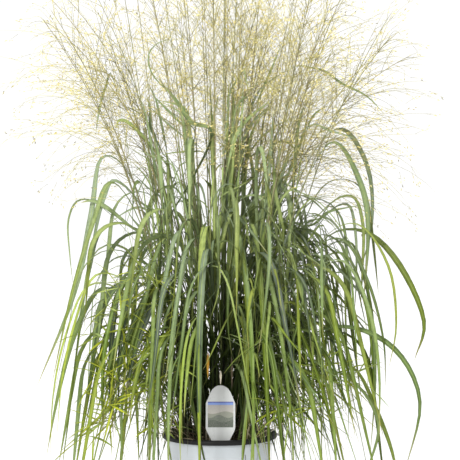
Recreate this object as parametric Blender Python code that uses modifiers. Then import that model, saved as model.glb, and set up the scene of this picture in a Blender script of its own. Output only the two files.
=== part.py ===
# Potted switchgrass in a nursery pot, with its plant tag
#
# Metres, +Z up. The origin is the centre of the pot's underside, +X is to the right and -Y is the
# front, where the tag stands. Each tiller is one closed solid: a culm, its arching blades and the
# first branches of its flower head. The clump is divided round the pot's axis into equal sectors.
# A tiller keeps to its own sector, and the few upright ones at the centre to a narrow core, so
# that no two tillers touch.

import math
import random

import bmesh
import bpy
from mathutils import Matrix, Vector

# Pot
POT_HEIGHT = 0.225
LIP_RADIUS = 0.1145
LIP_HEIGHT = 0.009
WALL_TOP_RADIUS = 0.1045
BASE_RADIUS = 0.088
WALL = 0.0018
FLOOR = 0.0025
BASE_ROUND = 0.004
STEP_DEPTH = 0.0012
STEP_DROPS = (0.005, 0.014)
POT_SIDES = 36
DRAIN_HOLES = 6
DRAIN_RADIUS = 0.006
DRAIN_SIDES = 8

# Potting mix
SOIL_LEVEL = 0.199
SOIL_DOME = 0.005
SOIL_RINGS = (0.6, 1.0)
SOIL_SIDES = 24
SOIL_GAP = 0.0006

# Plant tag: half widths, and heights above the potting mix's edge
TAG_THICKNESS = 0.0008
TAG_HALF_WIDTH = 0.0285
TAG_STAKE_HALF_WIDTH = 0.0130
TAG_TOP = 0.129
TAG_SHOULDER = 0.090
TAG_WAIST = 0.046
TAG_STAKE_TOP = 0.014
TAG_BURIED = 0.045
TAG_POINT = 0.012
TAG_PLACE = (0.0027, -0.0860)
TAG_LEAN = math.radians(3.0)
TAG_ARCH_STEPS = 8
SLOT_GAP = 0.0005

# Clump
SEED = 2600
SECTORS = 34
SECTOR = 2 * math.pi / SECTORS
BASE_RADII = (0.078, 0.038, 0.060, 0.046, 0.070)
BASE_SHIFT = (-0.003, 0.003)
FRONT_TILLERS = (24, 25, 26, 27)
FRONT_BASE_RADII = (0.040, 0.050)
FRONT_RAISE = (0.10, 0.05)
FRONT_SHORTER = 0.62
CENTRE_TILLERS = 4
CENTRE_RADIUS = 0.013
CENTRE_LENGTH = 0.985
CENTRE_TOP_LEAN = math.radians(0.8)
CORE_RADIUS = 0.029
ROOT_GAP = 0.0003

# Culms
CULM_RADIUS = 0.0017
CULM_TIP_RADIUS = 0.0005
CULM_LENGTH = (0.96, 0.90)
NODE_HEIGHT = 0.006
CULM_TAPER = 1.5
LEAN = (math.radians(1.5), math.radians(8.0))
TOP_LEAN = (math.radians(7.0), math.radians(42.0))
CULM_BEND = 1.7
LENGTH_SPREAD = (0.93, 1.03)
LEAN_SPREAD = (0.75, 1.20)
CURVE_STEPS = 400

# Blades, from the lowest up: height on the culm, length, angle off the culm in degrees, stations
BLADE_KINDS = (
    ((0.27, 0.34), (0.50, 0.66), (13, 24), (0.05, 0.18, 0.31, 0.44, 0.58, 0.77)),
    ((0.39, 0.48), (0.44, 0.60), (10, 20), (0.05, 0.18, 0.31, 0.44, 0.58, 0.77)),
    ((0.53, 0.63), (0.34, 0.46), (8, 15), (0.06, 0.24, 0.42, 0.60, 0.80)),
)
BLADE_DROOP = (164, 178)
BLADE_BEND = (0.28, 0.40)
BLADE_EASE = (0.18, 0.30)
BLADE_WIDEST = 0.35
BLADE_THICKNESS = 0.0012
BLADE_HALF_WIDTH = (0.0042, 0.0060)
BLADE_YAW = math.radians(5.7)
LOWEST_TIP = 0.055
SHORTENING = 0.96
KNOT_STEPS = 40
CENTRE_BLADE_LENGTH = 0.32
CENTRE_BLADE_TILT = math.radians(2.0)
CENTRE_BLADE_HALF_WIDTH = 0.0042

# Flower head: shares of the culm's length where branches leave it
WHORLS = (0.63, 0.80)
BRANCH_LENGTH = (0.17, 0.23)
BRANCH_RADIUS = 0.0008
BRANCH_STATIONS = (0.35, 0.72)
BRANCH_BEND = 1.6
OUTER_RISE = (24, 36)
OUTER_NOD = (25, 50)
INNER_RISE = (14, 22)
INNER_NOD = 30

# Sides of a culm, by the number of the corner in culm_ring() that each starts from
OUTER = 1
INNER = 3

# Culms that lean further than their neighbours: angle at the top, length
LEANING = {
    1: (math.radians(66), 0.93),
    33: (math.radians(52), 0.90),
    16: (math.radians(56), 0.97),
    18: (math.radians(48), 1.00),
}

# Blades that stand out at the clump's sides and front: which of the tiller's blades it is, the side
# that the tiller's blades turn to, height on the culm, half width, and the (radius, height) places
# that the blade passes through
MARKED_BLADES = {
    0: (1, 1, 0.43, 0.0064, ((0.20, 0.60), (0.285, 0.625), (0.36, 0.56), (0.41, 0.45), (0.39, 0.36))),
    33: (0, 1, 0.30, 0.0060, ((0.15, 0.40), (0.25, 0.44), (0.35, 0.40), (0.40, 0.30), (0.37, 0.16))),
    2: (2, 1, 0.55, 0.0056, ((0.20, 0.77), (0.28, 0.84), (0.345, 0.76), (0.355, 0.64), (0.32, 0.53))),
    32: (2, 1, 0.56, 0.0060, ((0.18, 0.73), (0.235, 0.80), (0.285, 0.72), (0.30, 0.63), (0.29, 0.48))),
    17: (2, 1, 0.56, 0.0060, ((0.18, 0.74), (0.235, 0.77), (0.255, 0.66), (0.29, 0.50), (0.365, 0.31))),
    19: (2, 1, 0.53, 0.0058, ((0.18, 0.67), (0.23, 0.72), (0.265, 0.64), (0.31, 0.50), (0.35, 0.33))),
    16: (0, 1, 0.30, 0.0058, ((0.17, 0.46), (0.25, 0.51), (0.31, 0.42), (0.35, 0.29), (0.38, 0.15))),
    25: (0, 1, 0.40, 0.0062, ((0.11, 0.57), (0.17, 0.58), (0.21, 0.47), (0.22, 0.30), (0.22, 0.12))),
}

COLOURS = {
    "pot": ((0.80, 0.82, 0.85), 0.42),
    "potting_mix": ((0.030, 0.022, 0.017), 0.95),
    "plant_tag": ((0.86, 0.87, 0.86), 0.30),
    "tiller": ((0.20, 0.31, 0.10), 0.55),
}


def clear_scene():
    for obj in list(bpy.data.objects):
        bpy.data.objects.remove(obj, do_unlink=True)


def new_collection(name):
    made = bpy.data.collections.new(name)
    bpy.context.scene.collection.children.link(made)
    return made


def new_material(name):
    colour, roughness = COLOURS[name]
    material = bpy.data.materials.new(name)
    material.use_nodes = True
    shader = material.node_tree.nodes["Principled BSDF"]
    shader.inputs["Base Color"].default_value = (*colour, 1.0)
    shader.inputs["Roughness"].default_value = roughness
    shader.inputs["Metallic"].default_value = 0.0
    return material


def place_object(name, data, collection, material=None):
    obj = bpy.data.objects.new(name, data)
    collection.objects.link(obj)
    if material is not None:
        data.materials.append(material)
    return obj


def mesh_object(name, shape, collection, material=None):
    mesh = bpy.data.meshes.new(name)
    shape.to_mesh(mesh)
    shape.free()
    return place_object(name, mesh, collection, material)


def mix(a, b, share):
    return a + (b - a) * share


def smooth_step(x):
    x = min(1.0, max(0.0, x))
    return x * x * (3 - 2 * x)


def turned(name, profile, sides, collection, material):
    """A solid turned from (radius, height) points that go up its inside and down its outside."""
    mesh = bpy.data.meshes.new(name)
    points = [(r, 0.0, z) for r, z in profile]
    mesh.from_pydata(points, [(i, i + 1) for i in range(len(points) - 1)], [])
    obj = place_object(name, mesh, collection, material)
    screw = obj.modifiers.new("turn", "SCREW")
    screw.steps = sides
    screw.render_steps = sides
    screw.use_merge_vertices = True
    screw.merge_threshold = 0.0001
    return obj


def subtract(obj, cutter):
    cutter.hide_render = True
    cutter.display_type = "WIRE"
    cut = obj.modifiers.new(cutter.name, "BOOLEAN")
    cut.operation = "DIFFERENCE"
    cut.solver = "EXACT"
    cut.object = cutter


def wall_radius(z):
    """Outer radius of the pot's plain wall at height z."""
    return mix(BASE_RADIUS, WALL_TOP_RADIUS, z / POT_HEIGHT)


def pot_profile():
    lip_bottom = POT_HEIGHT - LIP_HEIGHT
    lip_round = LIP_HEIGHT * 0.35
    first_step, second_step = (lip_bottom - drop for drop in STEP_DROPS)
    return [
        (0.0, FLOOR),
        (wall_radius(FLOOR) - WALL, FLOOR),
        (wall_radius(POT_HEIGHT) - WALL, POT_HEIGHT - lip_round),
        (wall_radius(POT_HEIGHT), POT_HEIGHT),
        (LIP_RADIUS - lip_round, POT_HEIGHT),
        (LIP_RADIUS, POT_HEIGHT - lip_round),
        (LIP_RADIUS, lip_bottom),
        (wall_radius(lip_bottom) + STEP_DEPTH, lip_bottom),
        (wall_radius(first_step) + STEP_DEPTH, first_step),
        (wall_radius(second_step), second_step),
        (wall_radius(BASE_ROUND), BASE_ROUND),
        (BASE_RADIUS - BASE_ROUND, 0.0),
        (0.0, 0.0),
    ]


def drain_cutter(collection):
    """Short cylinders that cross the pot's bottom corner at 45 degrees."""
    shape = bmesh.new()
    for i in range(DRAIN_HOLES):
        around = Matrix.Rotation((i + 0.5) * 2 * math.pi / DRAIN_HOLES, 4, "Z")
        corner = Matrix.Translation((BASE_RADIUS - WALL / 2, 0.0, FLOOR / 2))
        tilt = Matrix.Rotation(math.radians(135), 4, "Y")
        bmesh.ops.create_cone(
            shape,
            cap_ends=True,
            segments=DRAIN_SIDES,
            radius1=DRAIN_RADIUS,
            radius2=DRAIN_RADIUS,
            depth=4 * DRAIN_RADIUS,
            matrix=around @ corner @ tilt,
        )
    return mesh_object("drain_cutter", shape, collection)


def make_pot(parts, cutters):
    pot = turned("pot", pot_profile(), POT_SIDES, parts, new_material("pot"))
    subtract(pot, drain_cutter(cutters))


def soil_profile():
    """The potting mix fills the pot, a small gap inside its flat-sided wall."""
    bottom = FLOOR + SOIL_GAP
    inside = math.cos(math.pi / POT_SIDES)
    low_radius = (wall_radius(bottom) - WALL) * inside - SOIL_GAP
    top_radius = soil_radius()
    points = [(0.0, SOIL_LEVEL + SOIL_DOME)]
    for share in SOIL_RINGS:
        points.append((top_radius * share, SOIL_LEVEL + SOIL_DOME * (1 - share**2)))
    return points + [(low_radius, bottom), (0.0, bottom)]


def soil_radius():
    return (wall_radius(SOIL_LEVEL) - WALL) * math.cos(math.pi / POT_SIDES) - SOIL_GAP


def soil_top(radius):
    """Height of the potting mix's surface, which is straight between its rings."""
    (r0, z0), (r1, z1), (r2, z2) = soil_profile()[:3]
    if radius < r1:
        return mix(z0, z1, (radius - r0) / (r1 - r0))
    return mix(z1, z2, (radius - r1) / (r2 - r1))


def make_potting_mix(parts, cutters):
    material = new_material("potting_mix")
    soil = turned("potting_mix", soil_profile(), SOIL_SIDES, parts, material)
    slot = bmesh.new()
    bmesh.ops.create_cube(slot, size=2.0)
    half_size = (
        TAG_STAKE_HALF_WIDTH + SLOT_GAP,
        TAG_THICKNESS / 2 + SLOT_GAP,
        TAG_BURIED + SLOT_GAP,
    )
    bmesh.ops.scale(slot, vec=half_size, verts=slot.verts)
    cutter = mesh_object("tag_slot", slot, cutters)
    cutter.matrix_world = tag_matrix()
    subtract(soil, cutter)


def tag_matrix():
    """The tag's own frame: X across it, Z up it, from where it enters the potting mix."""
    x, y = TAG_PLACE
    place = Matrix.Translation((x, y, SOIL_LEVEL))
    return place @ Matrix.Rotation(-TAG_LEAN, 4, "X")


def tag_outline():
    """Half of the outline as (half width, height), from the stake's point up to the arched top."""
    half = [
        (0.0, -TAG_BURIED),
        (TAG_STAKE_HALF_WIDTH * 0.8, TAG_POINT - TAG_BURIED),
        (TAG_STAKE_HALF_WIDTH, TAG_STAKE_TOP),
        (TAG_HALF_WIDTH, TAG_WAIST),
    ]
    for i in range(TAG_ARCH_STEPS):
        angle = math.pi / 2 * i / TAG_ARCH_STEPS
        half_width = TAG_HALF_WIDTH * math.cos(angle) ** 0.75
        half.append((half_width, mix(TAG_SHOULDER, TAG_TOP, math.sin(angle))))
    return half + [(0.0, TAG_TOP)]


def make_plant_tag(parts):
    half = tag_outline()
    outline = half + [(-x, z) for x, z in reversed(half[1:-1])]
    curve = bpy.data.curves.new("plant_tag", "CURVE")
    curve.dimensions = "2D"
    curve.fill_mode = "BOTH"
    curve.extrude = TAG_THICKNESS / 2
    line = curve.splines.new("POLY")
    line.points.add(len(outline) - 1)
    for point, (x, z) in zip(line.points, outline):
        point.co = (x, z, 0.0, 1.0)
    line.use_cyclic_u = True
    tag = place_object("plant_tag", curve, parts, new_material("plant_tag"))
    tag.matrix_world = tag_matrix() @ Matrix.Rotation(math.radians(90), 4, "X")


def radial(azimuth):
    return Vector((math.cos(azimuth), math.sin(azimuth), 0.0))


def across(azimuth, tilt):
    """Directions across a stem that leans outwards by tilt: its left side, and its underside."""
    left = Vector((-math.sin(azimuth), math.cos(azimuth), 0.0))
    under = radial(azimuth) * math.cos(tilt) - Vector((0.0, 0.0, math.sin(tilt)))
    return left, under


def walk(start, azimuth, length, tilt_at, stations):
    """Places (point, azimuth, tilt) at the stations along a curve whose tilt is tilt_at(share)."""
    out = radial(azimuth)
    line = [(start.copy(), azimuth, tilt_at(0.0))]
    for i in range(CURVE_STEPS):
        tilt = tilt_at((i + 0.5) / CURVE_STEPS)
        ahead = out * math.sin(tilt) + Vector((0.0, 0.0, math.cos(tilt)))
        point = line[-1][0] + ahead * (length / CURVE_STEPS)
        line.append((point, azimuth, tilt_at((i + 1) / CURVE_STEPS)))
    return [line[round(share * CURVE_STEPS)] for share in stations]


def through(start, azimuth, knots, stations):
    """The same places along a smooth curve from start through (radius, height) knots."""
    out = radial(azimuth)
    beside = start - out * start.dot(out)
    points = [start] + [Vector((beside.x, beside.y, z)) + out * r for r, z in knots]
    ends = [points[0] * 2 - points[1]] + points + [points[-1] * 2 - points[-2]]
    line = [start]
    for a, b, c, d in zip(ends, ends[1:], ends[2:], ends[3:]):
        for i in range(1, KNOT_STEPS + 1):
            t = i / KNOT_STEPS
            bend = b * 2 + (c - a) * t + (a * 2 - b * 5 + c * 4 - d) * t**2
            line.append((bend + (b * 3 - a - c * 3 + d) * t**3) / 2)
    last = len(line) - 1
    found = []
    for share in stations:
        i = round(share * last)
        ahead = line[min(last, i + 1)] - line[max(0, i - 1)]
        found.append((line[i], azimuth, math.atan2(ahead.dot(out), ahead.z)))
    return found


def culm_ring(place, radius):
    """Four corners, the two inner ones last and first."""
    point, azimuth, tilt = place
    left, under = across(azimuth, tilt)
    corners = ((-1, -1), (1, -1), (1, 1), (-1, 1))
    return [point + under * (radius * a) + left * (radius * b) for a, b in corners]


def blade_ring(place, half_width, thickness):
    """Left edge, right edge and the keel under them."""
    point, azimuth, tilt = place
    left, under = across(azimuth, tilt)
    return [point + left * half_width, point - left * half_width, point + under * thickness]


def add_verts(shape, corners):
    return [shape.verts.new(corner) for corner in corners]


def loft(shape, low, high, open_sides=()):
    """Faces from a ring to the next. One with fewer corners takes the rest into its last."""
    high = high + [high[-1]] * (len(low) - len(high))
    for i in range(len(low)):
        if i not in open_sides:
            j = (i + 1) % len(low)
            shape.faces.new(list(dict.fromkeys((low[i], low[j], high[j], high[i]))))


def grow(shape, ring, rings, tip):
    """Lofts from a ring along further ones to a point."""
    for corners in rings:
        onward = add_verts(shape, corners)
        loft(shape, ring, onward)
        ring = onward
    loft(shape, ring, add_verts(shape, [tip]))


def side_opening(low, high, side):
    """The edge left open on one side of a culm, upper corners first, and its middle."""
    after = (side + 1) % len(low)
    ring = [high[after], high[side], low[side], low[after]]
    middle = sum((vert.co for vert in ring), Vector()) / len(ring)
    return ring, middle


def blade_profile(share):
    """Half width along a blade, as a share of the widest."""
    opening = mix(0.55, 1.0, smooth_step(share / BLADE_WIDEST))
    return opening * (1 - max(0.0, (share - BLADE_WIDEST) / (1 - BLADE_WIDEST)) ** 1.8)


def tiller_plan(index):
    """What sets one tiller apart. Every draw is from the tiller's own seed."""
    draw = random.Random(SEED + index)
    if index >= SECTORS:
        return {
            "draw": draw,
            "in_sector": False,
            "azimuth": (index - SECTORS + 0.5) * 2 * math.pi / CENTRE_TILLERS,
            "base": CENTRE_RADIUS,
            "lean": 0.0,
            "top_lean": CENTRE_TOP_LEAN,
            "length": CENTRE_LENGTH * draw.uniform(0.95, 1.0),
            "blades": centre_blades(draw),
            "branch_sides": (),
        }
    base = BASE_RADII[index % len(BASE_RADII)] + draw.uniform(*BASE_SHIFT)
    if index in FRONT_TILLERS:
        base = draw.uniform(*FRONT_BASE_RADII)
    spread = (base - min(BASE_RADII)) / (max(BASE_RADII) - min(BASE_RADII))
    top_lean = mix(*TOP_LEAN, spread) * draw.uniform(*LEAN_SPREAD)
    length = mix(*CULM_LENGTH, spread) * draw.uniform(*LENGTH_SPREAD)
    if index in LEANING:
        top_lean, length = LEANING[index]
    return {
        "draw": draw,
        "in_sector": True,
        "azimuth": index * SECTOR,
        "base": base,
        "lean": mix(*LEAN, spread),
        "top_lean": top_lean,
        "length": length,
        "blades": sector_blades(draw, index),
        "branch_sides": ((OUTER, INNER), (INNER,) if index % 2 else (OUTER,)),
    }


def sector_blades(draw, index):
    """One blade of each kind, with a marked blade in its place where the tiller has one."""
    turn = draw.choice((-1, 1))
    if index in MARKED_BLADES:
        marked_order, turn, *marked = MARKED_BLADES[index]
    blades = []
    for order, (heights, lengths, rises, stations) in enumerate(BLADE_KINDS):
        blade = {
            "height": draw.uniform(*heights),
            "length": draw.uniform(*lengths),
            "rise": math.radians(draw.uniform(*rises)),
            "droop": math.radians(draw.uniform(*BLADE_DROOP)),
            "bend": draw.uniform(*BLADE_BEND),
            "ease": draw.uniform(*BLADE_EASE),
            "half_width": draw.uniform(*BLADE_HALF_WIDTH),
            "yaw": turn * (order - 1) * BLADE_YAW,
            "stations": stations,
        }
        if index in MARKED_BLADES and order == marked_order:
            blade["height"], blade["half_width"], blade["knots"] = marked
        elif index in FRONT_TILLERS and order < 2:
            blade["height"] += FRONT_RAISE[order]
            blade["length"] *= FRONT_SHORTER
        blades.append(blade)
    return blades


def centre_blades(draw):
    """One upright blade, which keeps to the core."""
    heights, _, _, stations = BLADE_KINDS[2]
    return [
        {
            "height": draw.uniform(*heights),
            "length": CENTRE_BLADE_LENGTH,
            "rise": CENTRE_BLADE_TILT,
            "droop": CENTRE_BLADE_TILT,
            "bend": BLADE_BEND[0],
            "ease": BLADE_EASE[0],
            "half_width": CENTRE_BLADE_HALF_WIDTH,
            "yaw": 0.0,
            "stations": stations,
        }
    ]


def blade_places(blade, start, azimuth, culm_tilt, stations):
    """Places along a blade. One that would hang too near the ground is made shorter."""
    if "knots" in blade:
        return through(start, azimuth, blade["knots"], stations)
    rise = culm_tilt + blade["rise"]

    def tilt_at(share):
        eased = (share - blade["bend"] + blade["ease"]) / (2 * blade["ease"])
        return mix(rise, blade["droop"], smooth_step(eased))

    length = blade["length"]
    places = walk(start, azimuth, length, tilt_at, stations)
    while places[-1][0].z < LOWEST_TIP:
        length *= SHORTENING
        places = walk(start, azimuth, length, tilt_at, stations)
    return places


def side_room(point, azimuth):
    """How far a point may reach sideways before it leaves its sector."""
    left, _ = across(azimuth, 0.0)
    return point.dot(radial(azimuth)) * math.tan(SECTOR / 2) - abs(point.dot(left)) - ROOT_GAP


def add_blade(shape, opening, blade, plan, culm_tilt):
    ring, start = opening
    stations = blade["stations"]
    azimuth = plan["azimuth"] + blade["yaw"]
    places = blade_places(blade, start, azimuth, culm_tilt, (*stations, 1.0))
    rings = []
    for place, share in zip(places, stations):
        half_width = blade["half_width"] * blade_profile(share)
        if plan["in_sector"]:
            half_width = min(half_width, side_room(place[0], plan["azimuth"]))
        rings.append(blade_ring(place, half_width, BLADE_THICKNESS * mix(1.0, 0.6, share)))
    grow(shape, ring, rings, places[-1][0])


def add_branch(shape, opening, plan, culm_tilt, side):
    """One first-order branch of the flower head. It rises off the culm, then nods."""
    ring, start = opening
    draw = plan["draw"]
    azimuth = plan["azimuth"]
    length = draw.uniform(*BRANCH_LENGTH)
    if side == OUTER:
        rise = culm_tilt + math.radians(draw.uniform(*OUTER_RISE))
        fall = rise + math.radians(draw.uniform(*OUTER_NOD))
    else:
        azimuth += math.pi
        rise = math.radians(draw.uniform(*INNER_RISE)) - culm_tilt / 2
        fall = rise + math.radians(INNER_NOD)
        room = start.to_2d().length - CORE_RADIUS
        length = min(length, room / math.sin(mix(rise, fall, 0.5)))

    def tilt_at(share):
        return mix(rise, fall, share**BRANCH_BEND)

    places = walk(start, azimuth, length, tilt_at, (*BRANCH_STATIONS, 1.0))
    rings = []
    for place, share in zip(places, BRANCH_STATIONS):
        radius = BRANCH_RADIUS * mix(1.0, 0.55, share)
        rings.append(blade_ring(place, radius, radius))
    grow(shape, ring, rings, places[-1][0])


def culm_stations(plan, foot):
    """(share of the culm's length, what leaves its sides above there) from the foot up."""
    step = NODE_HEIGHT / plan["length"]
    stations = []
    for blade in plan["blades"]:
        share = (blade["height"] - foot.z) / plan["length"]
        stations += [(share, {OUTER: blade}), (share + step, {})]
    for share, sides in zip(WHORLS, plan["branch_sides"]):
        stations += [(share, dict.fromkeys(sides, "branch")), (share + step, {})]
    return stations


def make_tiller(index, parts, material):
    plan = tiller_plan(index)
    azimuth = plan["azimuth"]
    foot = radial(azimuth) * plan["base"]
    foot.z = soil_top(plan["base"]) + ROOT_GAP

    def tilt_at(share):
        return mix(plan["lean"], plan["top_lean"], share**CULM_BEND)

    stations = culm_stations(plan, foot)
    shares = [share for share, _ in stations]
    places = walk(foot, azimuth, plan["length"], tilt_at, [*shares, 1.0])

    shape = bmesh.new()
    ring = add_verts(shape, culm_ring((foot, azimuth, 0.0), CULM_RADIUS))
    shape.faces.new(list(reversed(ring)))
    leaving = {}
    openings = []
    for (share, leaving_above), place in zip(stations, places):
        radius = mix(CULM_RADIUS, CULM_TIP_RADIUS, share**CULM_TAPER)
        onward = add_verts(shape, culm_ring(place, radius))
        loft(shape, ring, onward, open_sides=leaving)
        for side, what in leaving.items():
            openings.append((what, side, side_opening(ring, onward, side), place[2]))
        ring = onward
        leaving = leaving_above
    loft(shape, ring, add_verts(shape, [places[-1][0]]))

    for what, side, opening, culm_tilt in openings:
        if what == "branch":
            add_branch(shape, opening, plan, culm_tilt, side)
        else:
            add_blade(shape, opening, what, plan, culm_tilt)
    return mesh_object(f"tiller_{index + 1:02d}", shape, parts, material)


def main():
    clear_scene()
    parts = new_collection("potted_switchgrass")
    cutters = new_collection("cutters")
    make_pot(parts, cutters)
    make_potting_mix(parts, cutters)
    make_plant_tag(parts)
    leaf_material = new_material("tiller")
    for index in range(SECTORS + CENTRE_TILLERS):
        make_tiller(index, parts, leaf_material)


main()
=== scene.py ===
import math
import random

import bmesh
import bpy
import numpy as np
from mathutils import Matrix, Vector


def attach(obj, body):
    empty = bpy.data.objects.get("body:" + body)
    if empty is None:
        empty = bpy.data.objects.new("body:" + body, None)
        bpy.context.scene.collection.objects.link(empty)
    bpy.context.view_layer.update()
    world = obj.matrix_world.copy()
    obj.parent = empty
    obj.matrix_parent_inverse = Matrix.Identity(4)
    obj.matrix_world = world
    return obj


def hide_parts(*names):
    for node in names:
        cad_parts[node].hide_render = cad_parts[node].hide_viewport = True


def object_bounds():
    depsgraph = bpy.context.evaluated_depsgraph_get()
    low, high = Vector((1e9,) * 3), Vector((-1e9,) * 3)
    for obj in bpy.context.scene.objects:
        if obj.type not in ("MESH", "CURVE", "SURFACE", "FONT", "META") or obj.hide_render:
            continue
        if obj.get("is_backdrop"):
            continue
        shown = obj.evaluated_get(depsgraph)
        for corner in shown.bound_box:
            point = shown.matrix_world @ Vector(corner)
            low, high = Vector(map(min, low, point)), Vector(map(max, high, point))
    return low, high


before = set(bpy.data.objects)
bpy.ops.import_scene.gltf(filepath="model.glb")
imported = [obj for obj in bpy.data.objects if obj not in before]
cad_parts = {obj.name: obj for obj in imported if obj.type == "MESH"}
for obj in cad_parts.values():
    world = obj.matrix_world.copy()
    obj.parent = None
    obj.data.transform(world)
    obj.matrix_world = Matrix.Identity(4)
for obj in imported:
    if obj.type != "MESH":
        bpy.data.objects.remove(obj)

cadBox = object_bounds()
print("frame loaded:", len(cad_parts), "solids")


# small helpers
upward = np.array((0.0, 0.0, 1.0))


def between(low, high, share):
    return low + (high - low) * share


def easeInOut(x):
    x = np.clip(x, 0.0, 1.0)
    return x * x * (3 - 2 * x)


def unit(vectors):
    return vectors / np.maximum(np.linalg.norm(vectors, axis=-1, keepdims=True), 1e-9)


def outward(azimuth):
    return np.array((math.cos(azimuth), math.sin(azimuth), 0.0))


def newObject(name, data):
    made = bpy.data.objects.new(name, data)
    bpy.context.scene.collection.objects.link(made)
    return made


def newMesh(name, shape):
    mesh = bpy.data.meshes.new(name)
    shape.to_mesh(mesh)
    shape.free()
    return mesh


def addPiece(name, mesh, finishes, materialSlot, *nodes):
    # every piece rides on the one body and stands for its own solid
    piece = newObject(name, mesh)
    for finish in finishes:
        mesh.materials.append(finish)
    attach(piece, "root")
    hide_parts(*nodes)
    return piece


# a heap gathers many small closed shells, which become one mesh
def newHeap():
    return {"points": [], "faces": [], "slots": [], "shade": [], "along": [], "across": [], "total": 0}


def addShells(heap, points, faces, slot, shade, along, across):
    # points is (count, corners, 3) and faces are the triangles of one shell
    count, corners, _ = points.shape
    if count == 0:
        return
    starts = heap["total"] + np.arange(count)[:, None, None] * corners
    heap["points"].append(points.reshape(-1, 3))
    heap["faces"].append((faces[None] + starts).reshape(-1, 3))
    heap["slots"].append(np.full(count * len(faces), slot))
    for name, values in (("shade", shade), ("along", along), ("across", across)):
        heap[name].append(np.broadcast_to(values, (count, corners)).reshape(-1))
    heap["total"] += count * corners


def shellFaces(stations, sides):
    # rings that run up to a point, with the first ring closed over
    faces = []
    for low in range(0, (stations - 2) * sides, sides):
        for i in range(sides):
            j = (i + 1) % sides
            faces += [(low + i, low + j, low + sides + j), (low + i, low + sides + j, low + sides + i)]
    last = (stations - 2) * sides
    faces += [(last + i, last + (i + 1) % sides, last + sides) for i in range(sides)]
    faces += [(1, (i + 1) % sides, i) for i in range(2, sides)]
    return np.array(faces)


def heapMesh(name, heap, sharpAngle):
    points = np.concatenate(heap["points"])
    faces = np.concatenate(heap["faces"])
    mesh = bpy.data.meshes.new(name)
    mesh.vertices.add(len(points))
    mesh.vertices.foreach_set("co", points.ravel())
    mesh.loops.add(faces.size)
    mesh.loops.foreach_set("vertex_index", faces.ravel())
    mesh.polygons.add(len(faces))
    mesh.polygons.foreach_set("loop_start", np.arange(len(faces)) * 3)
    mesh.polygons.foreach_set("material_index", np.concatenate(heap["slots"]))
    for attribute in ("shade", "along", "across"):
        layer = mesh.attributes.new(attribute, "FLOAT", "POINT")
        layer.data.foreach_set("value", np.concatenate(heap[attribute]))
    mesh.update(calc_edges=True)
    mesh.shade_smooth()
    mesh.set_sharp_from_angle(angle=math.radians(sharpAngle))
    return mesh


def addTubes(heap, lines, radii, sides, slot, shade):
    # lines is (count, stations, 3); each tube ends in a point at its last station
    ahead = unit(np.gradient(lines, axis=1))
    chord = lines[:, -1:] - lines[:, :1]
    beside = np.cross(chord, upward) + 1e-6   # an upright chord has a side too
    beside = unit(beside - ahead * (beside * ahead).sum(-1, keepdims=True))
    above = np.cross(ahead, beside)
    turn = 2 * math.pi * np.arange(sides)[:, None] / sides
    ring = beside[:, :-1, None] * np.cos(turn) + above[:, :-1, None] * np.sin(turn)
    rings = lines[:, :-1, None] + ring * radii[..., :-1, None, None]
    count, stations, _ = lines.shape
    points = np.concatenate((rings.reshape(count, -1, 3), lines[:, -1:]), axis=1)
    along = np.append(np.repeat(np.linspace(0, 1, stations)[:-1], sides), 1.0)
    addShells(heap, points, shellFaces(stations, sides), slot, shade, along, 0.0)


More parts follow.
